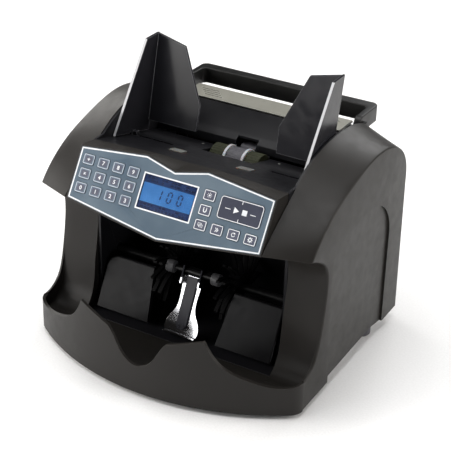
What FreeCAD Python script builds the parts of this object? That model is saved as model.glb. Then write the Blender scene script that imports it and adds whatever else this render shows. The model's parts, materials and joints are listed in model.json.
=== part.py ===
"""Banknote counting machine, as an assembly of separate pieces.

The model is drawn from a datum on the floor under the body, X to the machine's own
left-to-right as its user sees it, Y to the rear, Z up, in millimetres.  save() then moves
every piece by the same small step in Y, so that the origin is the middle of the footprint.
"""
import FreeCAD, Part
import math
import os

os.makedirs("parts", exist_ok=True)

V = FreeCAD.Vector

# ---------------------------------------------------------------- driving sizes
HALF_WIDTH = 144.0        # outer side faces
SHOULDER_X = 104.0        # inner edge of each arched shoulder
LIP_FRONT_Y = -137.0      # front of the bulging lip
HANDLE_REAR_Y = 143.0     # rear of the carrying handle
CENTRE_Y = (LIP_FRONT_Y + HANDLE_REAR_Y) / 2
BODY_REAR_Y = 122.0
SKIN = 2.6                # moulded wall
SIDE_SKIN = 4.6           # side wall, thick enough to hold the relief

# front lip
LIP_RADIUS = 236.0
LIP_WALL = 3.0
LIP_BOTTOM_Z = 4.0
CORNER_RADIUS = 14.0
LIP_CENTRE_Y = LIP_FRONT_Y + LIP_RADIUS
CORNER_X = HALF_WIDTH - CORNER_RADIUS
SEAM_Y = LIP_CENTRE_Y - math.sqrt((LIP_RADIUS - CORNER_RADIUS) ** 2 - CORNER_X ** 2)
FLOOR_Z = 22.0            # top of the tray and bay floor
FLOOR_SEAM_Y = -72.0      # seam between tray floor and bay floor

# control panel, as a tilted plane: v runs up the slope and w out of it
PANEL_FOOT = V(0, -95.8, 159.7)
PANEL_SLOPE = 58.45
OVERLAY_THICKNESS = 0.8
RIM = 1.3
KEY_PROUD = 0.5
KEY_DEPTH = 4.2
KEY_CORNER_SHARE = 0.15   # corner radius over the key's height
KEY_GAP = 0.35

# hopper
HOPPER_FRONT = (-49.6, 200.0)
HOPPER_FALL = 0.27        # drop of the floor per millimetre towards the rear
HOPPER_REAR_Y = 56.5
HOPPER_HALF = 101.6
WALL_X = (101.6, 103.7)

# shafts, as (y, z)
FEED = (43.0, 165.5)
DRUM = (22.0, 128.0)
STACK = (-14.0, 68.0)
EXIT = (-36.0, 81.5)
RETARD = (67.5, 168.0)
MOTOR = (85.0, 60.0)
SHAFT_R = 4.0
RUNNING = 0.05            # radial running clearance
FRAME_X = (106.0, 108.0)

# pulleys
MOTOR_PULLEY_R = 8.0
DRUM_PULLEY_R = 16.0
STACK_PULLEY_R = 20.0
DRUM_SMALL_R = 12.0
FEED_PULLEY_R = 10.0
MAIN_BELT_X = (-117.0, -111.0)
FEED_BELT_X = (-125.0, -119.0)
BELT_THICKNESS = 1.6
BELT_GAP = 0.15

# guides, racks and pinion
GUIDE_TRAVEL = 38.0
GUIDE_X = (98.4, 100.9)
PINION_Y = 10.0
PINION_TEETH = 16
MODULE = 1.0
PINION_R = MODULE * PINION_TEETH / 2
RACK_Z = (163.0, 168.0)
RACK_TOOTH = ((-1.0, 0), (-0.4, 1.6), (0.4, 1.6), (1.0, 0))
PINION_TIP = PINION_R + 0.6
PINION_TOOTH = ((-1.2, 5), (1.2, 5), (1.05, 6.9), (0.3, PINION_TIP), (-0.3, PINION_TIP), (-1.05, 6.9))

# stacker plates, as a tilted plane
STACK_PLATE_TOP = V(0, -36, 74)
STACK_PLATE_SLOPE = 63.4
STACK_PLATE_LENGTH = 53.7
WHEEL_X = (29.5, 40.0)
EXIT_SHAFT_R = 2.5
FIN_WIDTH = 4.0
FIN_COUNT = 14


# ---------------------------------------------------------------- helpers
def box(x, y, z):
    """A box from three (low, high) ranges."""
    return Part.makeBox(x[1] - x[0], y[1] - y[0], z[1] - z[0], V(x[0], y[0], z[0]))


def rod(radius, x, yz):
    """A cylinder along X from x[0] to x[1]."""
    return Part.makeCylinder(radius, x[1] - x[0], V(x[0], yz[0], yz[1]), V(1, 0, 0))


def post(radius, xy, z):
    """A cylinder along Z from z[0] to z[1]."""
    return Part.makeCylinder(radius, z[1] - z[0], V(xy[0], xy[1], z[0]), V(0, 0, 1))


def polygon(points):
    """A closed wire through the given vectors."""
    return Part.makePolygon(list(points) + [points[0]])


def prism(wire, direction):
    """A solid swept from a closed flat wire."""
    return Part.Face(wire).extrude(direction)


def prism_x(outline, x):
    """A (y, z) outline swept along X."""
    return prism(polygon([V(x[0], y, z) for y, z in outline]), V(x[1] - x[0], 0, 0))


def prism_y(outline, y):
    """An (x, z) outline swept along Y."""
    return prism(polygon([V(px, y[0], z) for px, z in outline]), V(0, y[1] - y[0], 0))


def prism_z(outline, z):
    """An (x, y) outline swept along Z."""
    return prism(polygon([V(px, py, z[0]) for px, py in outline]), V(0, 0, z[1] - z[0]))


def spline(points):
    """A smooth edge through the given vectors."""
    curve = Part.BSplineCurve()
    curve.interpolate(list(points))
    return curve.toShape()


def path(points):
    """Straight edges through the given vectors."""
    return [Part.makeLine(a, b) for a, b in zip(points, points[1:])]


def at_x(x, outline):
    """(y, z) pairs lifted to vectors at one X."""
    return [V(x, y, z) for y, z in outline]


def inset(outline, distance):
    """Points of an open (y, z) line moved to its right-hand side."""
    moved = []
    last = len(outline) - 1
    for i, (y, z) in enumerate(outline):
        before = outline[max(i - 1, 0)]
        after = outline[min(i + 1, last)]
        dy = after[0] - before[0]
        dz = after[1] - before[1]
        size = math.hypot(dy, dz)
        moved.append((y + distance * dz / size, z - distance * dy / size))
    return moved


def mirrored(shape):
    """The same piece on the other side of the machine."""
    return shape.mirror(V(0, 0, 0), V(1, 0, 0))


def fuse(shapes):
    """One solid from several that touch or cross."""
    first = shapes[0]
    return first.fuse(shapes[1:]).removeSplitter()


def rounded_rectangle(cx, cy, width, height, radius, z):
    """A block with round corners, flat on the local XY plane."""
    block = box((cx - width / 2, cx + width / 2), (cy - height / 2, cy + height / 2), z)
    upright = [e for e in block.Edges if abs(e.tangentAt(e.FirstParameter).z) > 0.9]
    return block.makeFillet(radius, upright)


def tilt(shape, origin, angle):
    """Stands a piece drawn on the local XY plane up on a plane tilted about X."""
    placed = shape.copy()
    placed.rotate(V(0, 0, 0), V(1, 0, 0), angle)
    placed.translate(origin)
    return placed


def on_panel(shape):
    return tilt(shape, PANEL_FOOT, PANEL_SLOPE)


def on_stack_plane(shape):
    return tilt(shape, STACK_PLATE_TOP, STACK_PLATE_SLOPE)


def floor_z(y):
    """Height of the hopper floor's upper face."""
    return HOPPER_FRONT[1] - HOPPER_FALL * (y - HOPPER_FRONT[0])


def save(name, shape):
    """Checks a piece, moves it to the row's origin and writes it."""
    if not shape.isValid():
        print("NOT VALID", name)
    moved = shape.copy()
    moved.translate(V(0, -CENTRE_Y, 0))
    moved.exportStep("parts/" + name + ".step")


# ---------------------------------------------------------------- side shells
# Crest of the shoulder at the outer face and at its inner edge, front to rear.
OUTER_CREST = [(-79, 156.5), (-66, 170), (-40, 187), (0, 201),
               (47, 209.5), (86, 202), (108, 187), (118, 163)]
INNER_CREST = [(-97, 159.5), (-84, 170), (-57, 188), (-15, 212.5),
               (41, 222), (86, 216.5), (110, 203.5), (118, 180)]
# Front notch of the shell, from the foot up to the tip of the shoulder.
PILLAR_FRONT = [(SEAM_Y, 36.5), (-71, 39), (-61, 47), (-53, 66), (-48, 90), (-45, 115)]
OUTER_NOTCH = PILLAR_FRONT + [(-47.5, 134), (-60, 147), (-79, 156.5)]
INNER_NOTCH = PILLAR_FRONT + [(-48, 135), (-66, 149.5), (-97, 159.5)]
SKIRT = [(BODY_REAR_Y, 12), (90, 11), (63, 15.5), (-32, 14), (-32, 7), (SEAM_Y, 5.5)]
SHELL_EDGE_RADIUS = 1.8


def cheek_wire(x, crest, notch):
    edges = [spline(at_x(x, crest))]
    edges += path(at_x(x, [crest[-1]] + SKIRT + [notch[0]]))
    edges.append(spline(at_x(x, notch)))
    return Part.Wire(edges)


def cheek_cavity_wire(x, crest, notch):
    """Inside of the shell: the same curves moved in by the wall."""
    roof = inset(crest[1:], SKIN)
    roof[-1] = (BODY_REAR_Y - SKIN - 3, crest[-1][1] - SKIN)
    front = inset(notch[4:8], SKIN)
    edges = [spline(at_x(x, roof))]
    edges += path(at_x(x, [roof[-1], (BODY_REAR_Y - SKIN, -5), (-46.3, -5), (-46.3, 76), front[0]]))
    edges.append(spline(at_x(x, front)))
    edges += path(at_x(x, [front[-1], roof[0]]))
    return Part.Wire(edges)


def side_relief():
    """Shallow hollow in the side face, deepest at its upper rear edge."""
    arch = [(-36, 138), (-16, 147), (5, 154), (33, 157), (60, 152), (78, 137), (87, 112)]
    edges = [spline(at_x(HALF_WIDTH, arch))]
    edges += path(at_x(HALF_WIDTH, [arch[-1], (87, -5), (-36, -5), arch[0]]))
    relief = prism(Part.Wire(edges), V(8, 0, 0))
    relief.rotate(V(HALF_WIDTH, -38, 0), V(0, 0, 1), 1.0)
    return relief


def foot_bowl():
    """Round hollow that carries the pillar's face down into the tray."""
    curve = [(-76, FLOOR_Z), (-66, 26), (-58, 37), (-53.3, 56), (-50.4, 78)]
    x = SHOULDER_X - 5
    edges = [spline(at_x(x, curve))]
    edges += path(at_x(x, [curve[-1], (-86, 78), (-86, FLOOR_Z), curve[0]]))
    return prism(Part.Wire(edges), V(141.2 - x, 0, 0))


def make_cheek():
    outer = Part.makeLoft([cheek_wire(HALF_WIDTH, OUTER_CREST, OUTER_NOTCH),
                           cheek_wire(SHOULDER_X, INNER_CREST, INNER_NOTCH)], True, True)
    rim = [e for e in outer.Edges
           if abs(e.CenterOfMass.x - HALF_WIDTH) < 0.01 and e.Length > 100 and e.BoundBox.ZMax > 100]
    outer = outer.makeFillet(SHELL_EDGE_RADIUS, rim)
    cavity = Part.makeLoft([cheek_cavity_wire(HALF_WIDTH - SIDE_SKIN, OUTER_CREST, OUTER_NOTCH),
                            cheek_cavity_wire(SHOULDER_X - 2, INNER_CREST, INNER_NOTCH)], True, True)
    toe_hollow = box((SHOULDER_X - 1, 139.4), (-78.4, -45), (-1, 18))
    return outer.cut([cavity, side_relief(), foot_bowl(), toe_hollow])


# ---------------------------------------------------------------- front tray with its lip
# Upper edge of the lip, as (x, z), from the middle out to the corner.
LIP_NOTCH = [(-31, 65), (-25, 57), (-15, 41), (0, 33), (15, 41), (25, 57), (31, 65)]
LIP_HUMP = (66, 76.5)
LIP_FALL = [(66, 76.5), (71, 66), (82, 52), (104, 40), (130, 33), (146, 36.5)]


def lip_plan(offset):
    """Plan outline of the lip moved in by offset, open at its rear."""
    radius = LIP_RADIUS - offset
    side = HALF_WIDTH - offset
    corner = CORNER_RADIUS - offset
    turn = math.atan2(CORNER_X, LIP_CENTRE_Y - SEAM_Y)
    join = V(CORNER_X + corner * math.sin(turn), SEAM_Y - corner * math.cos(turn), 0)
    half = turn / 2 + math.pi / 4
    middle = V(CORNER_X + corner * math.sin(half), SEAM_Y - corner * math.cos(half), 0)
    flank = V(side, SEAM_Y, 0)
    left_join = V(-join.x, join.y, 0)
    front = Part.Arc(left_join, V(0, LIP_CENTRE_Y - radius, 0), join).toShape()
    right = Part.Arc(join, middle, flank).toShape()
    left = Part.Arc(V(-side, SEAM_Y, 0), V(-middle.x, middle.y, 0), left_join).toShape()
    back = Part.makeLine(flank, V(-side, SEAM_Y, 0))
    return Part.Wire([left, front, right, back])


def lip_profile_cutter():
    """Everything above the lip's waved upper edge."""
    y = LIP_FRONT_Y - 10
    fall = [V(x, y, z) for x, z in LIP_FALL]
    mirrored_fall = [V(-x, y, z) for x, z in LIP_FALL]
    hump = V(LIP_HUMP[0], y, LIP_HUMP[1])
    notch = [V(x, y, z) for x, z in LIP_NOTCH]
    edges = [spline(mirrored_fall[::-1])]
    edges += path([V(-hump.x, y, hump.z), notch[0]])
    edges.append(spline(notch))
    edges += path([notch[-1], hump])
    edges.append(spline(fall))
    edges += path([fall[-1], V(fall[-1].x, y, 120), V(-fall[-1].x, y, 120), mirrored_fall[-1]])
    return prism(Part.Wire(edges), V(0, 80, 0))


def make_front_tray():
    outer_wire = lip_plan(0)
    inner_wire = lip_plan(LIP_WALL)
    lift = V(0, 0, LIP_BOTTOM_Z)
    outer_wire.translate(lift)
    inner_wire.translate(lift)
    height = V(0, 0, 80)
    wall = prism(outer_wire, height).cut(prism(inner_wire, height))
    wall = wall.cut(lip_profile_cutter())
    floor_wire = lip_plan(LIP_WALL - 0.5)
    floor_wire.translate(V(0, 0, FLOOR_Z - SKIN))
    floor = prism(floor_wire, V(0, 0, SKIN))
    tongue_half = SHOULDER_X - 0.2
    tongue = box((-tongue_half, tongue_half), (SEAM_Y - 1, FLOOR_SEAM_Y), (FLOOR_Z - SKIN, FLOOR_Z))
    ribs = [box((x - 1, x + 1), (-122, SEAM_Y), (8, FLOOR_Z - SKIN + 0.5)) for x in (-60, -20, 20, 60)]
    return fuse([wall, floor, tongue] + ribs)


# ---------------------------------------------------------------- control housing and panel
OVERLAY_OUTLINE = [(-101.5, 0), (-101.5, 49), (-32, 56.5), (0, 48.8),
                   (32, 56.5), (101.5, 49), (101.5, 0), (0, -14)]
HOUSING_OUTLINE = [(-103, -RIM), (-103, 50.2), (-32.4, 57.9), (0, 50.2),
                   (32.4, 57.9), (103, 50.2), (103, -RIM), (0, -15.4)]
HOUSING_BACK = [(-103, 149), (-103, 200), (-32.4, 204), (0, 203),
                (32.4, 204), (103, 200), (103, 149), (0, 146.5)]
HOUSING_BACK_Y = -50.0

# keys: name, centre (x, v), width, height
KEY_COLUMNS = (-90.3, -73.9, -57.6, -41.2)
KEY_ROWS = (38.6, 25.2, 11.8)
KEY_NAMES = (("plus", "7", "8", "9"), ("clear", "4", "5", "6"), ("0", "1", "2", "3"))
KEY_SIZE = (11.8, 9.6)
SIDE_KEYS = (("light", 39.5, 37.4), ("magnet", 39.0, 23.8), ("double", 38.6, 10.2),
             ("speed", 55.4, 10.2), ("auto", 72.1, 10.2), ("set", 88.9, 10.2))
START_KEY = (72.5, 30.9, 43.0, 20.6)
LCD_X = (-29.0, 26.0)
LCD_V = (9.5, 41.0)


def key_list():
    """Every key as (name, x, v, width, height)."""
    keys = []
    for v, names in zip(KEY_ROWS, KEY_NAMES):
        for x, name in zip(KEY_COLUMNS, names):
            keys.append(("key_" + name, x, v) + KEY_SIZE)
    for name, x, v in SIDE_KEYS:
        keys.append(("key_" + name, x, v) + KEY_SIZE)
    keys.append(("key_start",) + START_KEY)
    return keys


def key_block(x, v, width, height, gap, w):
    """A key's outline grown by a gap, between two levels above the panel."""
    corner = KEY_CORNER_SHARE * height + gap
    return rounded_rectangle(x, v, width + 2 * gap, height + 2 * gap, corner, w)


def make_key(x, v, width, height):
    cap = key_block(x, v, width, height, 0, (KEY_PROUD - KEY_DEPTH, KEY_PROUD))
    top = [e for e in cap.Edges if e.BoundBox.ZMin > KEY_PROUD - 0.01]
    return on_panel(cap.makeFillet(0.3, top))


def key_holes(depth):
    return [key_block(x, v, width, height, KEY_GAP, (-depth, 5)) for name, x, v, width, height in key_list()]


def lcd_opening(margin, w):
    return box((LCD_X[0] - margin, LCD_X[1] + margin), (LCD_V[0] - margin, LCD_V[1] + margin), w)


def make_overlay():
    sheet = prism_z(OVERLAY_OUTLINE, (-OVERLAY_THICKNESS, 0))
    return on_panel(sheet.cut(key_holes(3) + [lcd_opening(0, (-3, 3))]))


def panel_point(x, v, w):
    turn = math.radians(PANEL_SLOPE)
    return V(x, PANEL_FOOT.y + v * math.cos(turn) - w * math.sin(turn),
             PANEL_FOOT.z + v * math.sin(turn) + w * math.cos(turn))


def inner_outline(outline, wall):
    """An outline with its two ends, its top and its bottom all moved in by a wall."""
    heights = [z for x, z in outline]
    middle = (min(heights) + max(heights)) / 2
    end = max(x for x, z in outline)
    moved = []
    for x, z in outline:
        moved_x = math.copysign(end - wall, x) if abs(x) == end else x
        moved.append((moved_x, z - math.copysign(wall, z - middle)))
    return moved


def make_control_housing():
    front = polygon([panel_point(x, v, 0) for x, v in HOUSING_OUTLINE])
    back = polygon([V(x, HOUSING_BACK_Y, z) for x, z in HOUSING_BACK])
    block = Part.makeLoft([front, back], True, True)
    hollow_front = polygon([panel_point(x, v, -OVERLAY_THICKNESS - SKIN)
                            for x, v in inner_outline(HOUSING_OUTLINE, SKIN)])
    hollow_back = polygon([V(x, HOUSING_BACK_Y + 1, z) for x, z in inner_outline(HOUSING_BACK, SKIN)])
    hollow = Part.makeLoft([hollow_front, hollow_back], True, True)
    seat = on_panel(prism_z(OVERLAY_OUTLINE, (-OVERLAY_THICKNESS, 5)))
    holes = [on_panel(hole) for hole in key_holes(8)]
    return block.cut([hollow, seat, on_panel(lcd_opening(0.6, (-8, 5)))] + holes)


def make_lcd_window():
    return on_panel(lcd_opening(-0.05, (-OVERLAY_THICKNESS, -0.1)))


def make_display_board():
    board = box((-96, 96), (5, 44), (-7.8, -6.2))
    module = lcd_opening(0.3, (-6.2, -1.0))
    chips = [box((x - 4, x + 4), (20, 28), (-9.3, -7.8)) for x in (-60, -20, 20, 60)]
    return on_panel(fuse([board, module] + chips))


# ---------------------------------------------------------------- hopper
TUB_CREST = [(-36, 200.5), (-15, 211.5), (15, 219.5), (41, 221.3), (64, 219.8), (86, 215.6), (110, 202.8)]
GUIDE_SLOT_Y = (PINION_Y - 2.5, PINION_Y + 2.5)
PAD_Y = -8.3
PAD_X = 36.4
PAD_HALF = (7.2, 5.0)
PAD_PROUD = 0.9
ROLLER_WINDOW_X = 28.5
ROLLER_WINDOW_FRONT = 20.0


def hopper_wall():
    x = WALL_X[0]
    front_y = HOPPER_FRONT[0]
    edges = [spline(at_x(x, TUB_CREST))]
    edges += path(at_x(x, [TUB_CREST[-1], (112, 172), (40, 172), (front_y, 188), (front_y, HOPPER_FRONT[1]),
                           TUB_CREST[0]]))
    return prism(Part.Wire(edges), V(WALL_X[1] - WALL_X[0], 0, 0))


def make_hopper_tub():
    front_y = HOPPER_FRONT[0]
    rear = HOPPER_REAR_Y
    floor = prism_x([(front_y, floor_z(front_y)), (rear, floor_z(rear)), (rear, floor_z(rear) - SKIN),
                     (front_y, floor_z(front_y) - SKIN)], (-HOPPER_HALF, HOPPER_HALF))
    boss = post(5, (0, PINION_Y), (RACK_Z[1] + 1.2, floor_z(PINION_Y) - 1))
    pivot = post(2.5, (0, PINION_Y), (RACK_Z[0] - 1, floor_z(PINION_Y) - 1))
    tub = fuse([floor, hopper_wall(), mirrored(hopper_wall()), boss, pivot])
    slot = box((GUIDE_X[0] - 7 - GUIDE_TRAVEL, HOPPER_HALF), GUIDE_SLOT_Y, (150, 215))
    pad_pocket = box((PAD_X - PAD_HALF[0], PAD_X + PAD_HALF[0]),
                     (PAD_Y - PAD_HALF[1], PAD_Y + PAD_HALF[1]), (150, 215))
    pivot_hole = rod(3.0 + RUNNING, (WALL_X[0] - 1, WALL_X[1] + 1), HANDLE_PIVOT)
    roller_window = box((-ROLLER_WINDOW_X, ROLLER_WINDOW_X), (ROLLER_WINDOW_FRONT, 60), (150, 215))
    cuts = [slot, pad_pocket, pivot_hole]
    return tub.cut(cuts + [mirrored(c) for c in cuts] + [roller_window])


def make_hopper_pads():
    front, rear = PAD_Y - PAD_HALF[1], PAD_Y + PAD_HALF[1]
    under = floor_z(PAD_Y) - SKIN
    pad = prism_x([(front, floor_z(front) + PAD_PROUD), (rear, floor_z(rear) + PAD_PROUD),
                   (rear, under), (front, under)], (PAD_X - PAD_HALF[0], PAD_X + PAD_HALF[0]))
    return Part.makeCompound([pad, mirrored(pad)])


BACK_FACE = [(56.9, 173.6), (57.5, 181.5), (66, 187), (81.8, 204.6)]


def make_hopper_back_plate():
    under = [(83.4, 202.7), (67.6, 185), (59.2, 180.2), (58.6, 173.6)]
    half = HOPPER_HALF - 0.2
    plate = prism_x(BACK_FACE + under, (-half, half))
    throat = box((-11.5, 11.5), (50, 62.5), (170, 200))
    ear = prism_x([(60.5, 181), (74, 192), (74, 163), (61, 163)], (15.5, 18))
    ears = [ear, mirrored(ear)]
    plate = fuse([plate.cut(throat)] + ears)
    return plate.cut(rod(3 + RUNNING, (-25, 25), RETARD))


def make_retard_roller():
    return fuse([rod(9, (-8, 8), RETARD), rod(3, (-20, 20), RETARD)])


# ---------------------------------------------------------------- rear
HANDLE_PIVOT = (106.5, 207.0)
HANDLE_Z = (198.5, 215.5)
HANDLE_BAR = 12.0
ARM_X = (92.5, 99.5)
TOP_PLATE_Y = (82.3, 112.5)
TOP_PLATE_HALF = 86.0
VENT_ROWS = 4
VENT_PITCH = 4.2
VENT_LENGTH = 20.0
VENT_WIDTH = 1.7


def make_rear_top_plate():
    front, rear = TOP_PLATE_Y
    plate = prism_x([(front, 206.4), (rear - 2, 206.2), (rear, 204.8), (rear, 203.2), (front + 2, 204)],
                    (-TOP_PLATE_HALF, TOP_PLATE_HALF))
    slots = []
    for i in range(VENT_ROWS):
        x = 46 + 3.5 * i
        y = 88.5 + VENT_PITCH * i
        slant = 1.5
        slots.append(prism_z([(x, y), (x + VENT_LENGTH, y), (x + VENT_LENGTH + slant, y + VENT_WIDTH),
                              (x + slant, y + VENT_WIDTH)], (195, 215)))
    return plate.cut(slots + [mirrored(s) for s in slots])


def make_rear_cover():
    outer = [(109.5, 202.6), (114, 196), (118.5, 180), (120.5, 150), (BODY_REAR_Y, 12)]
    inner = [(y - SKIN, z) for y, z in outer[::-1]]
    half = SHOULDER_X - 0.3
    cover = prism_x(outer + inner, (-half, half))
    arm_notch = box((TOP_PLATE_HALF + 1, SHOULDER_X + 1), (100, 130), (190, 220))
    vents = [box((-80, -35), (100, 130), (70 + 7 * i, 73 + 7 * i)) for i in range(8)]
    vents += [box((35, 80), (100, 130), (100 + 7 * i, 103 + 7 * i)) for i in range(6)]
    inlet = box((INLET_X[0] - 0.1, INLET_X[1] + 0.1), (100, 130), (INLET_Z[0] - 0.1, INLET_Z[1] + 0.1))
    ledge = box((-TOP_PLATE_HALF, TOP_PLATE_HALF), (104, 109), (199.5, 202.5))
    return fuse([cover.cut([arm_notch, mirrored(arm_notch), inlet] + vents), ledge])


def make_carry_handle():
    y_front = HANDLE_PIVOT[0]
    arm = box(ARM_X, (y_front, HANDLE_REAR_Y), HANDLE_Z)
    nose = rod((HANDLE_Z[1] - HANDLE_Z[0]) / 2, ARM_X, HANDLE_PIVOT)
    bar = box((-ARM_X[1], ARM_X[1]), (HANDLE_REAR_Y - HANDLE_BAR, HANDLE_REAR_Y), HANDLE_Z)
    bail = fuse([arm, nose, bar, mirrored(arm), mirrored(nose)])
    corner = [e for e in bail.Edges
              if e.BoundBox.YMin > HANDLE_REAR_Y - 0.1 and abs(abs(e.CenterOfMass.x) - ARM_X[1]) < 0.1]
    bail = bail.makeFillet(7, corner)
    inner = [e for e in bail.Edges
             if abs(e.CenterOfMass.y - (HANDLE_REAR_Y - HANDLE_BAR)) < 0.1
             and abs(abs(e.CenterOfMass.x) - ARM_X[0]) < 0.1 and e.BoundBox.ZLength > 5]
    bail = bail.makeFillet(5, inner)
    rim = [e for e in bail.Edges if e.BoundBox.ZLength < 0.01 and e.BoundBox.ZMin > HANDLE_Z[1] - 0.1]
    bail = bail.makeFillet(1.2, rim)
    stub = rod(3, (ARM_X[1] - 1, WALL_X[1]), HANDLE_PIVOT)
    return fuse([bail, stub, mirrored(stub)])


# ---------------------------------------------------------------- stacker bay
def make_bay_liner():
    wall = prism_x([(-45.5, FLOOR_Z - SKIN), (26, FLOOR_Z - SKIN), (26, 98), (-4, 108), (-45.5, 147)],
                   (100.6, 103.4))
    floor = box((-103.4, 103.4), (FLOOR_SEAM_Y + 0.4, 26), (FLOOR_Z - SKIN, FLOOR_Z))
    back = box((-103.4, 103.4), (26 - SKIN, 26), (FLOOR_Z - SKIN, 98))
    roof = prism_x([(-49, 148), (-45.5, 148), (-4, 109), (-7, 107), (-46.5, 144.5)], (-103.4, 103.4))
    liner = fuse([wall, mirrored(wall), floor, back, roof])
    return liner.cut(rod(SHAFT_R + 2, (-110, 110), STACK))


def make_stacker_plate(top_outer_radius):
    """Leaning plate that the counted notes come to rest against."""
    length = STACK_PLATE_LENGTH
    outline = polygon([V(45, 0, -5), V(98, 0, -5), V(98, -length, -5), V(38, -length, -5)])
    block = prism(outline, V(0, 0, 5))
    corner = [e for e in block.Edges
              if e.BoundBox.XMin > 97.9 and e.BoundBox.YMin > -0.1 and e.BoundBox.ZLength > 4]
    block = block.makeFillet(top_outer_radius, corner)
    crest = [e for e in block.Edges if e.BoundBox.ZMin > -0.1 and e.BoundBox.YMin > -length + 1]
    block = block.makeFillet(2.2, crest)
    return on_stack_plane(block)


def make_stacker_plates():
    left = mirrored(make_stacker_plate(13))
    right = make_stacker_plate(3)
    return Part.makeCompound([left, right])


def make_note_bracket():
    """Bright waisted plate between the stacker wheels, with a turned-out foot and two ears."""
    length = STACK_PLATE_LENGTH
    top = 3.3
    flank = [(10, top), (9.2, -18), (10.8, -31), (15.4, -39), (17.2, -length)]
    right = [V(x, s, 0) for x, s in flank]
    left = [V(-x, s, 0) for x, s in flank]
    edges = [spline(right), Part.makeLine(right[-1], left[-1])]
    edges += [spline(left[::-1]), Part.makeLine(left[0], right[0])]
    plate = prism(Part.Wire(edges), V(0, 0, 1.5))
    foot = box((-17.2, 17.2), (-length - 1.5, -length), (0, 4.5))
    ear = box((9.0, 10.4), (-6, 11.5), (-2.5, 8))
    bracket = on_stack_plane(fuse([plate, foot, ear, mirrored(ear)]))
    return bracket.cut(rod(EXIT_SHAFT_R + RUNNING, (-15, 15), EXIT))


def make_note_arm():
    """Dark flexible arm down the middle of the bright plate, with its two screws."""
    bar = box((-5.5, 5.5), (-44, 2), (1.5, 3.7))
    tip = post(5.5, (0, -44), (1.5, 3.7))
    screws = [post(1.7, (x, -46), (3.7, 4.5)) for x in (-2.6, 2.6)]
    return on_stack_plane(fuse([bar, tip] + screws))


def wheel_fin(x, angle):
    """One swept-back blade of a stacker wheel, drawn at the X axis and turned into place."""
    outer = Part.Arc(V(x, 10, 0), V(x, 26, 8), V(x, 33.6, 14.4)).toShape()
    inner = Part.Arc(V(x, 34.6, 12.4), V(x, 26.6, 5.8), V(x, 10, -2.2)).toShape()
    edges = [outer, Part.makeLine(V(x, 33.6, 14.4), V(x, 34.6, 12.4)), inner,
             Part.makeLine(V(x, 10, -2.2), V(x, 10, 0))]
    fin = prism(Part.Wire(edges), V(FIN_WIDTH, 0, 0))
    fin.rotate(V(0, 0, 0), V(1, 0, 0), angle)
    return fin


def make_stacker_wheels():
    """Each wheel carries two rows of blades on one hub."""
    near, far = WHEEL_X
    fins = [wheel_fin(x, 360 * i / FIN_COUNT) for i in range(FIN_COUNT) for x in (near, far - FIN_WIDTH)]
    wheel = fuse([rod(13, WHEEL_X, (0, 0))] + fins)
    wheel = wheel.cut(rod(SHAFT_R, (0, 60), (0, 0)))
    wheel.translate(V(0, STACK[0], STACK[1]))
    return Part.makeCompound([wheel, mirrored(wheel)])


def make_stacker_shaft():
    shaft = rod(SHAFT_R, (-118, 111), STACK)
    return fuse([shaft, rod(STACK_PULLEY_R, MAIN_BELT_X, STACK)])


def make_exit_rollers():
    """Two small rollers on a short shaft that turns in the bracket's ears."""
    roller = rod(6, (20.8, 29.0), EXIT)
    rim = [e for e in roller.Edges if e.BoundBox.XLength < 0.1]
    roller = roller.makeFillet(0.8, rim)
    return fuse([rod(EXIT_SHAFT_R, (-21, 21), EXIT), roller, mirrored(roller)])


# ---------------------------------------------------------------- feed and transport
FEED_R = 14.5


def make_feed_shaft():
    return fuse([rod(SHAFT_R, (-126, 111), FEED), rod(FEED_PULLEY_R, FEED_BELT_X, FEED)])


def ring(outer, inner, x, yz):
    return rod(outer, x, yz).cut(rod(inner, (x[0] - 1, x[1] + 1), yz))


def make_feed_rubbers():
    rubber = ring(FEED_R, SHAFT_R, (11.5, 26.5), FEED)
    return Part.makeCompound([rubber, mirrored(rubber)])


def make_feed_flanges():
    flange = ring(FEED_R + 1.6, SHAFT_R, (8.6, 11.2), FEED)
    return Part.makeCompound([flange, mirrored(flange)])


def make_feed_centre_roller():
    return ring(FEED_R + 0.4, SHAFT_R, (-8.4, 8.4), FEED)


def make_transport_drum():
    drum_parts = [rod(SHAFT_R, (-126, 111), DRUM), rod(24, (-98, 98), DRUM)]
    drum_parts += [rod(26, (x - 6, x + 6), DRUM) for x in (-70, -24, 24, 70)]
    drum_parts += [rod(DRUM_PULLEY_R, MAIN_BELT_X, DRUM), rod(DRUM_SMALL_R, FEED_BELT_X, DRUM)]
    return fuse(drum_parts)


def make_frame_plates():
    outline = [(-40, 18), (100, 18), (100, 150), (70, 178), (30, 178), (-40, 120)]
    plate = prism_x(outline, FRAME_X)
    holes = [rod(8, (100, 115), c) for c in (FEED, DRUM, STACK)]
    plate = plate.cut(holes + [rod(12, (100, 115), MOTOR)])
    return Part.makeCompound([plate, mirrored(plate)])


def make_bearings():
    rings = []
    for centre in (FEED, DRUM, STACK):
        body = rod(8, (104.6, 110), centre)
        flange = rod(10, (FRAME_X[1], 109.6), centre)
        bearing = body.fuse(flange).removeSplitter().cut(rod(SHAFT_R + RUNNING, (100, 115), centre))
        rings += [bearing, mirrored(bearing)]
    return Part.makeCompound(rings)


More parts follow.
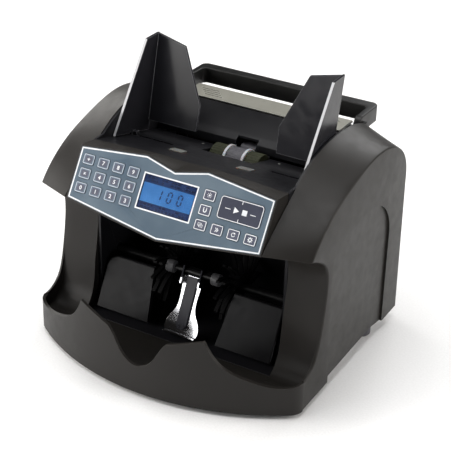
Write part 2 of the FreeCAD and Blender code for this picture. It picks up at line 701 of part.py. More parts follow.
def belt_wire(circles, x):
    """Closed line wrapped round a ring of circles, given anticlockwise as ((y, z), radius)."""
    normals = []
    count = len(circles)
    for i in range(count):
        (c1, r1), (c2, r2) = circles[i], circles[(i + 1) % count]
        dy, dz = c2[0] - c1[0], c2[1] - c1[1]
        length = math.hypot(dy, dz)
        dy, dz = dy / length, dz / length
        lean = (r1 - r2) / length
        side = math.sqrt(1 - lean * lean)
        normals.append((dy * lean + dz * side, dz * lean - dy * side))
    edges = []
    for i in range(count):
        (c1, r1), (c2, r2) = circles[i], circles[(i + 1) % count]
        before, after = normals[i - 1], normals[i]
        start = math.atan2(before[1], before[0])
        sweep = (math.atan2(after[1], after[0]) - start) % (2 * math.pi)

        def rim(angle):
            return V(x, c1[0] + r1 * math.cos(angle), c1[1] + r1 * math.sin(angle))

        edges.append(Part.Arc(rim(start), rim(start + sweep / 2), rim(start + sweep)).toShape())
        edges.append(Part.makeLine(rim(start + sweep),
                                   V(x, c2[0] + r2 * after[0], c2[1] + r2 * after[1])))
    return Part.Wire(edges)


def belt(pulleys, x):
    inner = [(centre, radius + BELT_GAP) for centre, radius in pulleys]
    outer = [(centre, radius + BELT_THICKNESS) for centre, radius in inner]
    width = V(x[1] - x[0], 0, 0)
    return prism(belt_wire(outer, x[0]), width).cut(prism(belt_wire(inner, x[0]), width))


def make_drive_belts():
    main = belt([(STACK, STACK_PULLEY_R), (MOTOR, MOTOR_PULLEY_R), (DRUM, DRUM_PULLEY_R)], MAIN_BELT_X)
    feed = belt([(DRUM, DRUM_SMALL_R), (FEED, FEED_PULLEY_R)], FEED_BELT_X)
    return Part.makeCompound([main, feed])


def make_drive_motor():
    can = rod(22, (-98, -42), MOTOR)
    ends = [e for e in can.Edges if e.BoundBox.XLength < 0.1]
    can = can.makeFillet(2, ends)
    foot = box((-97, -43), (70, 100), (30, 40))
    return fuse([can, foot, rod(9, (-101, -97), MOTOR), rod(6, (-44, -38), MOTOR)])


def make_motor_pulley():
    return fuse([rod(3, (-122, -101.5), MOTOR), rod(MOTOR_PULLEY_R, MAIN_BELT_X, MOTOR)])


# ---------------------------------------------------------------- guides
def rack_outline(root_y, tip_sign, x_low, x_high, phase):
    """Bar edge with trapezoid teeth, as (x, y) points from x_low to x_high."""
    pitch = math.pi * MODULE
    points = []
    first = math.ceil((x_low + 1.5 - phase) / pitch)
    x = phase + first * pitch
    while x < x_high - 1.5:
        for dx, height in RACK_TOOTH:
            points.append((x + dx, root_y + tip_sign * height))
        x += pitch
    return points


def make_guide(mirror):
    """Side wing and leaning rear wing in one piece, on a stem and a toothed bar under the floor."""
    inner, outer = GUIDE_X
    top = (56.5, 274.5)
    bottom = (36.0, 179.5)
    wall = 2.5
    side = prism_x([(-22, floor_z(-22) + 1), (34, 274), top, bottom], GUIDE_X)
    face = [(outer, top[1]), (67, 267), (43.4, 215), (44.2, 190), (outer, 190)]
    slab = prism_x([(bottom[0] - wall, bottom[1]), (top[0] - wall, top[1]), top, bottom], (30, outer))
    rear = prism_y(face, (0, 80)).common(slab)
    wings = fuse([side, rear])
    spine = [e for e in wings.Edges
             if e.BoundBox.XMin > outer - 0.1 and e.BoundBox.ZLength > 60 and e.CenterOfMass.y > 35]
    wings = wings.makeFillet(2.0, spine)
    stem_x = (outer - 7, outer)
    stem = box(stem_x, (PINION_Y - 2, PINION_Y + 2), (RACK_Z[0], floor_z(PINION_Y) + 4))
    front = -1 if not mirror else 1
    root_y = PINION_Y + front * (PINION_R + 0.9)
    back_y = root_y + front * 4
    teeth = rack_outline(root_y, -front, -7, 47, math.pi * MODULE / 2)
    bar = prism_z([(-7, back_y), (-7, root_y)] + teeth + [(outer, root_y), (outer, back_y)], RACK_Z)
    link = box(stem_x, (min(back_y, PINION_Y), max(back_y, PINION_Y)), RACK_Z)
    guide = fuse([wings, stem, link, bar])
    return mirrored(guide) if mirror else guide


def make_guide_pinion():
    teeth = []
    for i in range(PINION_TEETH):
        tooth = prism_z(PINION_TOOTH, RACK_Z)
        tooth.rotate(V(0, 0, 0), V(0, 0, 1), 360 * i / PINION_TEETH)
        teeth.append(tooth)
    wheel = fuse([post(6.9, (0, 0), RACK_Z)] + teeth)
    wheel = wheel.cut(post(2.5 + RUNNING, (0, 0), (RACK_Z[0] - 1, RACK_Z[1] + 1)))
    wheel.translate(V(0, PINION_Y, 0))
    return wheel


# ---------------------------------------------------------------- power and boards
INLET_X = (46.0, 94.0)
INLET_Z = (24.0, 50.0)
SOCKET_X = (64.0, 90.0)
ROCKER_X = (49.0, 60.0)
ROCKER_Z = (29.0, 45.0)
ROCKER_PIVOT = (116.0, 37.0)
ROCKER_TILT = 8.0
ROCKER_PIN_R = 1.2


def make_power_inlet():
    rear = BODY_REAR_Y + 1.5
    frame_x = (INLET_X[0] - 2, INLET_X[1] + 2)
    frame = box(frame_x, (BODY_REAR_Y, rear), (INLET_Z[0] - 2, INLET_Z[1] + 2))
    body = box(INLET_X, (100, BODY_REAR_Y), INLET_Z)
    cavity = box(SOCKET_X, (106, rear + 1), (29, 46))
    well_x = (ROCKER_X[0] - 0.4, ROCKER_X[1] + 0.4)
    rocker_well = box(well_x, (106, rear + 1), (ROCKER_Z[0] - 2, ROCKER_Z[1] + 2))
    pin_bore = rod(ROCKER_PIN_R + RUNNING, (ROCKER_X[0] - 2.2, ROCKER_X[1] + 2.2), ROCKER_PIVOT)
    blades = [box((x - 1, x + 1), (105, 119), (34, 41)) for x in (70, 77, 84)]
    return fuse([fuse([frame, body]).cut([cavity, rocker_well, pin_bore])] + blades)


def make_rocker():
    low, high = ROCKER_Z
    middle = ROCKER_PIVOT[1]
    rear = BODY_REAR_Y + 3.0
    outline = [(112, low + 2), (rear, low), (rear - 2.2, middle), (rear, high), (112, high - 2)]
    cap = prism_x(outline, ROCKER_X)
    cap.rotate(V(0, ROCKER_PIVOT[0], ROCKER_PIVOT[1]), V(1, 0, 0), -ROCKER_TILT)
    pin = rod(ROCKER_PIN_R, (ROCKER_X[0] - 2, ROCKER_X[1] + 2), ROCKER_PIVOT)
    return fuse([cap, pin])


def make_power_supply():
    case = box((20, 96), (60, 98), (16, 62))
    return case.cut([box((26 + 10 * i, 31 + 10 * i), (65, 93), (55, 70)) for i in range(7)]
                    + [box((22, 94), (62, 96), (18, 60))])


def make_main_board():
    board = box((-90, 90), (54, 55.6), (70, 150))
    chips = [box((x - 7, x + 7), (55.6, 58.6), (100, 114)) for x in (-60, -20, 20, 60)]
    sockets = [box((x - 9, x + 9), (55.6, 63), (76, 82)) for x in (-50, 0, 50)]
    return fuse([board] + chips + sockets)


# ---------------------------------------------------------------- base
BASE_Z = (11.0, 13.5)
FOOT_PLACES = [(x, y) for x in (-128, 128) for y in (-62, 74)]
SCREW_PLACES = [(x, y) for x in (-118, -60, 60, 118) for y in (-38, 104)]


def make_base_pan():
    pan = box((-139, 139), (-48, 119), BASE_Z)
    outrigger = box((106.8, 139), (-77, -47), BASE_Z)
    rim = box((-139, 139), (-48, 119), (BASE_Z[1], 18)).cut(box((-137, 137), (-46, 117), (0, 30)))
    pan = fuse([pan, outrigger, mirrored(outrigger), rim])
    holes = [post(1.7, place, (5, 20)) for place in SCREW_PLACES]
    feet_holes = [post(3, place, (5, 20)) for place in FOOT_PLACES]
    return pan.cut(holes + feet_holes)


def make_feet():
    feet = []
    for place in FOOT_PLACES:
        pad = post(10, place, (0, BASE_Z[0]))
        lower = [e for e in pad.Edges if e.BoundBox.ZMax < 0.1]
        pad = pad.makeFillet(1.5, lower)
        feet.append(fuse([pad, post(3, place, (BASE_Z[0] - 1, BASE_Z[1] + 1))]))
    return Part.makeCompound(feet)


def make_case_screws():
    screws = []
    for place in SCREW_PLACES:
        head = post(3.5, place, (BASE_Z[0] - 2, BASE_Z[0]))
        shank = post(1.7, place, (BASE_Z[0] - 0.5, BASE_Z[1] + 4))
        recess = box((place[0] - 0.4, place[0] + 0.4), (place[1] - 2.4, place[1] + 2.4),
                     (BASE_Z[0] - 3, BASE_Z[0] - 1.2))
        screws.append(fuse([head, shank]).cut(recess))
    return Part.makeCompound(screws)


# ---------------------------------------------------------------- write every piece
cheek = make_cheek()
save("right_cheek", cheek)
save("left_cheek", mirrored(cheek))
save("front_tray", make_front_tray())
save("control_housing", make_control_housing())
save("panel_overlay", make_overlay())
save("lcd_window", make_lcd_window())
save("display_board", make_display_board())
for key_name, key_x, key_v, key_width, key_height in key_list():
    save(key_name, make_key(key_x, key_v, key_width, key_height))
save("hopper_tub", make_hopper_tub())
save("hopper_pads", make_hopper_pads())
save("hopper_back_plate", make_hopper_back_plate())
save("retard_roller", make_retard_roller())
save("rear_top_plate", make_rear_top_plate())
save("rear_cover", make_rear_cover())
save("carry_handle", make_carry_handle())
save("bay_liner", make_bay_liner())
save("stacker_plates", make_stacker_plates())
save("note_bracket", make_note_bracket())
save("note_arm", make_note_arm())
save("stacker_wheels", make_stacker_wheels())
save("stacker_shaft", make_stacker_shaft())
save("exit_rollers", make_exit_rollers())
save("feed_shaft", make_feed_shaft())
save("feed_rubbers", make_feed_rubbers())
save("feed_flanges", make_feed_flanges())
save("feed_centre_roller", make_feed_centre_roller())
save("transport_drum", make_transport_drum())
save("frame_plates", make_frame_plates())
save("shaft_bearings", make_bearings())
save("drive_belts", make_drive_belts())
save("drive_motor", make_drive_motor())
save("motor_pulley", make_motor_pulley())
save("right_guide", make_guide(False))
save("left_guide", make_guide(True))
save("guide_pinion", make_guide_pinion())
save("power_inlet", make_power_inlet())
save("rocker_switch", make_rocker())
save("power_supply", make_power_supply())
save("main_board", make_main_board())
save("base_pan", make_base_pan())
save("feet", make_feet())
save("case_screws", make_case_screws())
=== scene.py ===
"""Looks of the banknote counting machine, built round its CAD frame.

Metres, X to the user's right, Y to the rear, Z up.  CAD pieces keep their shape: they get a
procedural material and small rounded edges.  Printing, display, sensor lenses and roller
treads are made here and ride on the CAD bodies.
"""
import json
import math
import random

import bmesh
import bpy
from mathutils import Matrix, Vector
from mathutils.bvhtree import BVHTree


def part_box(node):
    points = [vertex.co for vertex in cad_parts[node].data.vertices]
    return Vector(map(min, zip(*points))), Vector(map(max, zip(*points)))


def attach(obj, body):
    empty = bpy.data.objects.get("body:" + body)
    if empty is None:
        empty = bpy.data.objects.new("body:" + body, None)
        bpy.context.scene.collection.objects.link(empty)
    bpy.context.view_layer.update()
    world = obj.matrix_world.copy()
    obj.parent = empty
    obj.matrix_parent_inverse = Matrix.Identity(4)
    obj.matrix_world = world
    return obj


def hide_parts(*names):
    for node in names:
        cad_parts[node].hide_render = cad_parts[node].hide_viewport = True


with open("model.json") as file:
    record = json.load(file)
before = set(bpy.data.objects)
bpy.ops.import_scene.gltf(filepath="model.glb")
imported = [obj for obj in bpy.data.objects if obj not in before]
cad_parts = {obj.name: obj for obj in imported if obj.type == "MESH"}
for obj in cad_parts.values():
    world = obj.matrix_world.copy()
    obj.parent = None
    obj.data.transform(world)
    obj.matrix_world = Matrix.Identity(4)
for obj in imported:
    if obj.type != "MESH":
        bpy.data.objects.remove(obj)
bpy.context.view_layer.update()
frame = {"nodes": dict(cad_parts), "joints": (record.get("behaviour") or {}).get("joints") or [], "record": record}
NODES = frame["nodes"]
RECORD = frame["record"]
SLOT_OF = {row["node"]: row["material_slot"] for row in RECORD["subparts"]}
BODY_OF = {node: body for body, nodes in RECORD["behaviour"]["bodies"].items() for node in nodes}

MM = 0.001

# ---------------------------------------------------------------- camera and light
CAMERA_AZIMUTH = 29.77
CAMERA_ELEVATION = 28.11
CAMERA_ROLL = 1.5
CAMERA_DISTANCE = 1.3097
CAMERA_AIM = Vector((0.0, 0.0194, 0.1056))
CAMERA_LENS = 107.1
SENSOR_WIDTH = 36.0


def make_camera():
    """A camera that looks at the aim point, tipped by the roll."""
    azimuth = math.radians(CAMERA_AZIMUTH)
    elevation = math.radians(CAMERA_ELEVATION)
    roll = math.radians(CAMERA_ROLL)
    look = Vector((-math.sin(azimuth) * math.cos(elevation),
                   math.cos(azimuth) * math.cos(elevation),
                   -math.sin(elevation)))
    level = Vector((math.cos(azimuth), math.sin(azimuth), 0))
    steep = level.cross(look)
    right = level * math.cos(roll) + steep * math.sin(roll)
    up = steep * math.cos(roll) - level * math.sin(roll)
    camera = bpy.data.objects.new("camera", bpy.data.cameras.new("camera"))
    camera.data.lens = CAMERA_LENS
    camera.data.sensor_width = SENSOR_WIDTH
    turn = Matrix((right, up, -look)).transposed().to_4x4()
    camera.matrix_world = Matrix.Translation(CAMERA_AIM - look * CAMERA_DISTANCE) @ turn
    bpy.context.scene.collection.objects.link(camera)
    bpy.context.scene.camera = camera


def softbox(name, place, size, watts, tint=(1.0, 1.0, 1.0)):
    """A square area light that looks at the middle of the machine."""
    light = bpy.data.lights.new(name, "AREA")
    light.shape = "SQUARE"
    light.size = size
    light.energy = watts
    light.color = tint
    lamp = bpy.data.objects.new(name, light)
    lamp.location = place
    lamp.rotation_euler = (CAMERA_AIM - Vector(place)).to_track_quat("-Z", "Y").to_euler()
    lamp.visible_camera = False
    bpy.context.scene.collection.objects.link(lamp)


def make_world(zenith, horizon):
    """Dim light from all round: zenith and horizon are its strengths from above and from the sides."""
    world = bpy.data.worlds.new("studio")
    world.use_nodes = True
    tree = world.node_tree
    background = tree.nodes["Background"]
    background.inputs["Color"].default_value = (1.0, 1.0, 1.0, 1.0)
    coordinates = tree.nodes.new("ShaderNodeTexCoord")
    split = tree.nodes.new("ShaderNodeSeparateXYZ")
    ramp = tree.nodes.new("ShaderNodeMapRange")
    ramp.inputs["From Min"].default_value = 0.0
    ramp.inputs["From Max"].default_value = 1.0
    ramp.inputs["To Min"].default_value = horizon
    ramp.inputs["To Max"].default_value = zenith
    tree.links.new(coordinates.outputs["Generated"], split.inputs[0])
    tree.links.new(split.outputs["Z"], ramp.inputs["Value"])
    tree.links.new(ramp.outputs["Result"], background.inputs["Strength"])
    bpy.context.scene.world = world


# ---------------------------------------------------------------- materials
def tone(red, green, blue):
    """A screen colour, 0 to 255, as the linear colour that shaders use."""
    linear = []
    for value in (red, green, blue):
        share = value / 255
        linear.append(share / 12.92 if share <= 0.04045 else ((share + 0.055) / 1.055) ** 2.4)
    return tuple(linear) + (1.0,)


NOISE_SPREAD = (0.3, 0.7)      # where nearly all noise values lie
GRAIN_SHADE = 0.82             # colour of the grain's hollows over the dark tone
GRAIN_SHARE = 0.35
# Radius of the edge band: rubbed edges, and on the guides a painted highlight.
EDGE_WEAR_AND_HIGHLIGHT_RADIUS = 0.9 * MM
OPEN_FACE = 0.995              # how well a rounded normal agrees with the true one on open faces
SHARP_EDGE = 0.85              # and on edges
RIPPLE_SIZE = 20 * MM


def noise(tree, coordinates, size, detail=2.0):
    """Noise with features of about the given size in metres."""
    texture = tree.nodes.new("ShaderNodeTexNoise")
    texture.inputs["Scale"].default_value = 1.0 / size
    texture.inputs["Detail"].default_value = detail
    tree.links.new(coordinates, texture.inputs["Vector"])
    return texture.outputs["Fac"]


def spread(tree, source, low, high):
    """Noise stretched from its usual values onto low-high."""
    ramp = tree.nodes.new("ShaderNodeMapRange")
    ramp.inputs["From Min"].default_value = NOISE_SPREAD[0]
    ramp.inputs["From Max"].default_value = NOISE_SPREAD[1]
    ramp.inputs["To Min"].default_value = low
    ramp.inputs["To Max"].default_value = high
    tree.links.new(source, ramp.inputs["Value"])
    return ramp.outputs["Result"]


def mix(tree, share, first, second):
    """Two colours, or a colour over a link, mixed by a linked share."""
    node = tree.nodes.new("ShaderNodeMix")
    node.data_type = "RGBA"
    tree.links.new(share, node.inputs["Factor"])
    for socket, value in ((node.inputs[6], first), (node.inputs[7], second)):
        if isinstance(value, tuple):
            socket.default_value = value
        else:
            tree.links.new(value, socket)
    return node.outputs[2]


def edge_mask(tree, radius):
    """1 on edges sharper than the given radius, 0 on open faces."""
    bevel = tree.nodes.new("ShaderNodeBevel")
    bevel.samples = 4
    bevel.inputs["Radius"].default_value = radius
    geometry = tree.nodes.new("ShaderNodeNewGeometry")
    dot = tree.nodes.new("ShaderNodeVectorMath")
    dot.operation = "DOT_PRODUCT"
    tree.links.new(bevel.outputs[0], dot.inputs[0])
    tree.links.new(geometry.outputs["True Normal"], dot.inputs[1])
    ramp = tree.nodes.new("ShaderNodeMapRange")
    ramp.inputs["From Min"].default_value = OPEN_FACE
    ramp.inputs["From Max"].default_value = SHARP_EDGE
    tree.links.new(dot.outputs["Value"], ramp.inputs["Value"])
    return ramp.outputs["Result"]


def finish(name, dark, light, roughness, patch=0.04, grain=0.6 * MM, depth=0.02 * MM,
           stretch=(1, 1, 1), ripple=0.0, edge_wear_and_highlight=None, **sockets):
    """A material with patchy colour, uneven gloss and a fine surface grain.

    dark and light bound the colour, roughness its (low, high), patch the size of the patches,
    grain and depth the size and height of the grain, stretch pulls the grain along an axis,
    ripple adds slow waves of that height, and the edge colour is painted along the edges: rubbed
    edges on most materials, a painted highlight on the guides.  Sizes are in metres.
    """
    material = bpy.data.materials.new(name)
    material.use_nodes = True
    tree = material.node_tree
    shader = tree.nodes["Principled BSDF"]
    for socket, value in sockets.items():
        shader.inputs[socket.replace("_", " ")].default_value = value
    place = tree.nodes.new("ShaderNodeTexCoord").outputs["Object"]
    pulled = tree.nodes.new("ShaderNodeMapping")
    pulled.inputs["Scale"].default_value = stretch
    tree.links.new(place, pulled.inputs["Vector"])

    patches = noise(tree, place, patch, 3.0)
    specks = noise(tree, pulled.outputs[0], grain, 2.0)
    colour = mix(tree, spread(tree, patches, 0.0, 1.0), dark, light)
    deep = tuple(GRAIN_SHADE * c for c in dark[:3]) + (1.0,)
    colour = mix(tree, spread(tree, specks, 0.0, GRAIN_SHARE), colour, deep)
    # Edge colour: rubbed edges on most materials, a painted highlight on the guides.
    if edge_wear_and_highlight:
        colour = mix(tree, edge_mask(tree, EDGE_WEAR_AND_HIGHLIGHT_RADIUS), colour, edge_wear_and_highlight)
    tree.links.new(colour, shader.inputs["Base Color"])

    tree.links.new(spread(tree, noise(tree, pulled.outputs[0], patch / 4, 4.0), *roughness),
                   shader.inputs["Roughness"])

    bump = tree.nodes.new("ShaderNodeBump")
    bump.inputs["Distance"].default_value = depth
    tree.links.new(specks, bump.inputs["Height"])
    if ripple:
        wave = tree.nodes.new("ShaderNodeBump")
        wave.inputs["Distance"].default_value = ripple
        tree.links.new(noise(tree, place, RIPPLE_SIZE, 1.0), wave.inputs["Height"])
        tree.links.new(wave.outputs[0], bump.inputs["Normal"])
    tree.links.new(bump.outputs[0], shader.inputs["Normal"])
    return material


def glow(name, dark, light, strength, across):
    """A lit face, a little brighter in one place than another."""
    material = finish(name, dark, light, (0.35, 0.5), patch=across, depth=0.005 * MM)
    shader = material.node_tree.nodes["Principled BSDF"]
    shader.inputs["Emission Strength"].default_value = strength
    source = shader.inputs["Base Color"].links[0].from_socket
    material.node_tree.links.new(source, shader.inputs["Emission Color"])
    return material


def rest_place(tree, axis):
    """The X, Y or Z of a point of the machine at rest."""
    split = tree.nodes.new("ShaderNodeSeparateXYZ")
    tree.links.new(tree.nodes["Texture Coordinate"].outputs["Object"], split.inputs[0])
    return split.outputs[axis]


def distance_from_middle(tree):
    """|X| of a point of the machine at rest."""
    reach = tree.nodes.new("ShaderNodeMath")
    reach.operation = "ABSOLUTE"
    tree.links.new(rest_place(tree, "X"), reach.inputs[0])
    return reach.outputs[0]


def inverted(tree, value):
    """1 - value."""
    node = tree.nodes.new("ShaderNodeMath")
    node.operation = "SUBTRACT"
    node.inputs[0].default_value = 1.0
    tree.links.new(value, node.inputs[1])
    return node.outputs[0]


def above(tree, value, limit):
    """1 where the value is above the limit, else 0."""
    step = tree.nodes.new("ShaderNodeMath")
    step.operation = "GREATER_THAN"
    step.inputs[1].default_value = limit
    tree.links.new(value, step.inputs[0])
    return step.outputs[0]


def recolour(tree, keep, other):
    """Keeps the material's colour where keep is 1 and paints the other colour where it is 0."""
    shader = tree.nodes["Principled BSDF"]
    own = shader.inputs["Base Color"].links[0].from_socket
    tree.links.new(mix(tree, keep, other, own), shader.inputs["Base Color"])


FINISHES = {
    "shell_plastic": finish("shell_plastic", tone(35, 33, 31), tone(38, 36, 34), (0.36, 0.44),
                            depth=0.05 * MM, ripple=0.05 * MM, edge_wear_and_highlight=tone(54, 52, 50),
                            Specular_IOR_Level=0.2),
    "deck_plastic": finish("deck_plastic", tone(22, 22, 25), tone(27, 27, 30), (0.34, 0.46),
                           depth=0.02 * MM, ripple=0.05 * MM, edge_wear_and_highlight=tone(46, 46, 50),
                           Specular_IOR_Level=0.22),
    "panel_film": finish("panel_film", tone(78, 94, 108), tone(106, 120, 131), (0.38, 0.5),
                         patch=0.06, grain=0.25 * MM, depth=0.01 * MM, Specular_IOR_Level=0.12),
    "key_film": finish("key_film", tone(88, 101, 116), tone(100, 113, 128), (0.32, 0.42),
                       patch=0.02, grain=0.25 * MM, depth=0.01 * MM, Specular_IOR_Level=0.3),
    "start_film": finish("start_film", tone(52, 55, 70), tone(60, 63, 78), (0.34, 0.44),
                         patch=0.02, grain=0.25 * MM, depth=0.01 * MM, Specular_IOR_Level=0.3),
    "display_glass": finish("display_glass", tone(232, 240, 250), tone(244, 248, 255), (0.02, 0.05),
                            depth=0.002 * MM, Transmission_Weight=1.0, IOR=1.46),
    "circuit_board": finish("circuit_board", tone(14, 74, 44), tone(22, 92, 54), (0.3, 0.45),
                            patch=0.015, Coat_Weight=0.3),
    "pad_plastic": finish("pad_plastic", tone(104, 104, 102), tone(122, 122, 118), (0.3, 0.42),
                          patch=0.01, depth=0.01 * MM, Subsurface_Weight=0.1),
    "light_plastic": finish("light_plastic", tone(128, 127, 118), tone(140, 139, 130), (0.36, 0.48),
                            depth=0.03 * MM, edge_wear_and_highlight=tone(190, 190, 182)),
    "dark_spring": finish("dark_spring", tone(28, 28, 37), tone(37, 37, 46), (0.3, 0.42),
                          patch=0.01, stretch=(1, 0.1, 0.1), depth=0.005 * MM, Specular_IOR_Level=0.3),
    "black_nylon": finish("black_nylon", tone(6, 6, 7), tone(9, 9, 10), (0.5, 0.62),
                          patch=0.015, depth=0.02 * MM, edge_wear_and_highlight=tone(12, 12, 13), Specular_IOR_Level=0.06),
    "shaft_steel": finish("shaft_steel", tone(168, 168, 172), tone(196, 196, 200), (0.2, 0.34),
                          stretch=(1, 0.05, 0.05), grain=0.3 * MM, depth=0.006 * MM, Metallic=1.0),
    "pale_nylon": finish("pale_nylon", tone(178, 177, 182), tone(198, 197, 202), (0.3, 0.42),
                         patch=0.01, depth=0.01 * MM, Subsurface_Weight=0.15),
    "olive_rubber": finish("olive_rubber", tone(35, 38, 18), tone(43, 46, 24), (0.55, 0.7),
                           patch=0.01, depth=0.04 * MM, Specular_IOR_Level=0.3),
    "black_rubber": finish("black_rubber", tone(66, 65, 71), tone(80, 79, 85), (0.42, 0.55),
                           patch=0.01, depth=0.04 * MM),
    "drum_plastic": finish("drum_plastic", tone(72, 72, 76), tone(86, 86, 90), (0.4, 0.52),
                           depth=0.02 * MM),
    "plated_steel": finish("plated_steel", tone(176, 180, 184), tone(200, 203, 206), (0.28, 0.45),
                           patch=0.012, depth=0.01 * MM, Metallic=1.0),
    "motor_paint": finish("motor_paint", tone(34, 34, 37), tone(46, 46, 50), (0.25, 0.38),
                          depth=0.02 * MM, Coat_Weight=0.4),
}
BLACK_STEEL = finish("black_steel", tone(14, 14, 15), tone(20, 20, 21), (0.4, 0.52),
                     stretch=(1, 0.05, 0.05), grain=0.3 * MM, depth=0.006 * MM, Specular_IOR_Level=0.15)
WHITE_INK = finish("white_ink", tone(226, 229, 232), tone(240, 242, 244), (0.4, 0.5), patch=0.01,
                   grain=0.2 * MM, depth=0.004 * MM)
PALE_INK = finish("pale_ink", tone(176, 186, 198), tone(192, 201, 212), (0.4, 0.5), patch=0.01,
                  grain=0.2 * MM, depth=0.004 * MM)
SLATE_INK = finish("slate_ink", tone(66, 70, 88), tone(78, 81, 99), (0.36, 0.46), patch=0.01,
                   grain=0.2 * MM, depth=0.004 * MM)
RIM_INK = finish("rim_ink", tone(52, 58, 68), tone(62, 68, 78), (0.36, 0.46), patch=0.02,
                 grain=0.2 * MM, depth=0.004 * MM)
LIT_BLUE = glow("lit_blue", tone(54, 118, 180), tone(76, 140, 198), 0.5, 0.02)
BAND_BLUE = glow("band_blue", tone(24, 50, 98), tone(34, 64, 116), 0.22, 0.01)
MARK_BLUE = glow("mark_blue", tone(16, 28, 66), tone(24, 38, 80), 0.1, 0.005)
SEGMENT_INK = glow("segment_ink", tone(22, 50, 96), tone(30, 60, 108), 0.15, 0.005)


# ---------------------------------------------------------------- materials that change over a piece
EXIT_ROLLER_START = 20.6 * MM      # |X| where the bare shaft ends and the exit rollers begin
BRACKET_PLATE_TOP = 77.0 * MM      # Z where the bright plate ends and its ears begin
# The guides' painted highlight goes on faces beyond this depth that look towards the user.
GUIDE_SHEET_DEPTH = 2.7 * MM       # a little more than the guide's sheet
GUIDE_PLATE_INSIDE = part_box("right_guide")[1].x - GUIDE_SHEET_DEPTH
FACES_USER = -0.5                  # a normal whose Y is lower looks towards the user
BARE_SHAFT = tone(13, 13, 14)
BLACKENED = tone(14, 14, 16)
# Painted highlight colour for the guides' front edge.
PAINTED_EDGE_HIGHLIGHT = tone(205, 205, 208)


def exit_finish():
    """Grey rollers on a dark shaft: the colour changes where the rollers end."""
    material = finish("exit_finish", tone(60, 60, 62), tone(74, 74, 76), (0.36, 0.48), patch=0.01,
                      depth=0.01 * MM, Specular_IOR_Level=0.3)
    tree = material.node_tree
    recolour(tree, above(tree, distance_from_middle(tree), EXIT_ROLLER_START), BARE_SHAFT)
    return material


def bracket_finish():
    """Bright plate with blackened ears above it."""
    material = finish("bracket_finish", tone(206, 206, 210), tone(226, 226, 228), (0.1, 0.18),
                      stretch=(0.2, 1, 1), depth=0.002 * MM, ripple=0.12 * MM, Metallic=1.0)
    tree = material.node_tree
    ears = above(tree, rest_place(tree, "Z"), BRACKET_PLATE_TOP)
    recolour(tree, inverted(tree, ears), BLACKENED)
    return material


def guide_sheet_with_painted_highlight():
    """Glossy black sheet with painted highlights: pale along its edges, brighter on the faces of its sloping front
    edge that look towards the user.
    """
    # The pale edge colour here is a painted highlight along the sheet's edges.
    material = finish("guide_sheet_with_painted_highlight", tone(34, 34, 38), tone(39, 39, 43), (0.16, 0.26),
                      depth=0.01 * MM, ripple=0.08 * MM, edge_wear_and_highlight=tone(110, 110, 114), Specular_IOR_Level=0.4)
    tree = material.node_tree
    split = tree.nodes.new("ShaderNodeSeparateXYZ")
    geometry = tree.nodes.new("ShaderNodeNewGeometry")
    tree.links.new(geometry.outputs["True Normal"], split.inputs[0])
    ahead = inverted(tree, above(tree, split.outputs["Y"], FACES_USER))
    plate = above(tree, distance_from_middle(tree), GUIDE_PLATE_INSIDE)
    both = tree.nodes.new("ShaderNodeMath")
    both.operation = "MULTIPLY"
    tree.links.new(ahead, both.inputs[0])
    tree.links.new(plate, both.inputs[1])
    # Paints the highlight on the plate's faces that look towards the user.
    recolour(tree, inverted(tree, both.outputs[0]), PAINTED_EDGE_HIGHLIGHT)
    return material


GUIDE_SHEET = guide_sheet_with_painted_highlight()
STACKER_BLACK = finish("stacker_black", tone(17, 17, 18), tone(21, 21, 23), (0.3, 0.42), patch=0.03,
                       depth=0.02 * MM, edge_wear_and_highlight=tone(32, 32, 35), Specular_IOR_Level=0.12)
HANDLE_BLACK = finish("handle_black", tone(20, 20, 20), tone(25, 25, 25), (0.34, 0.44), depth=0.03 * MM,
                      ripple=0.05 * MM, edge_wear_and_highlight=tone(44, 44, 44), Specular_IOR_Level=0.3)
SPECIAL = {"exit_rollers": exit_finish(), "note_bracket": bracket_finish(), "stacker_shaft": BLACK_STEEL,
           "stacker_plates": STACKER_BLACK, "carry_handle": HANDLE_BLACK, "left_guide": GUIDE_SHEET,
           "right_guide": GUIDE_SHEET}


# ---------------------------------------------------------------- CAD pieces
SHARP_ANGLE = math.radians(32)
WELD = 0.01 * MM
# width of the rounded edges in millimetres
EDGE_WIDTH = {"left_cheek": 0.7, "right_cheek": 0.7, "front_tray": 0.8, "control_housing": 0.5,
              "rear_cover": 0.5, "hopper_tub": 0.4, "hopper_back_plate": 0.5, "bay_liner": 0.4,
              "left_guide": 0.5, "right_guide": 0.5, "rear_top_plate": 0.35, "stacker_plates": 0.3,
              "panel_overlay": 0.1, "lcd_window": 0.08, "power_inlet": 0.3, "rocker_switch": 0.5,
              "feet": 0.3, "base_pan": 0.3, "stacker_wheels": 0.3, "feed_flanges": 0.4,
              "transport_drum": 0.5, "frame_plates": 0.3}
DEFAULT_EDGE = 0.2


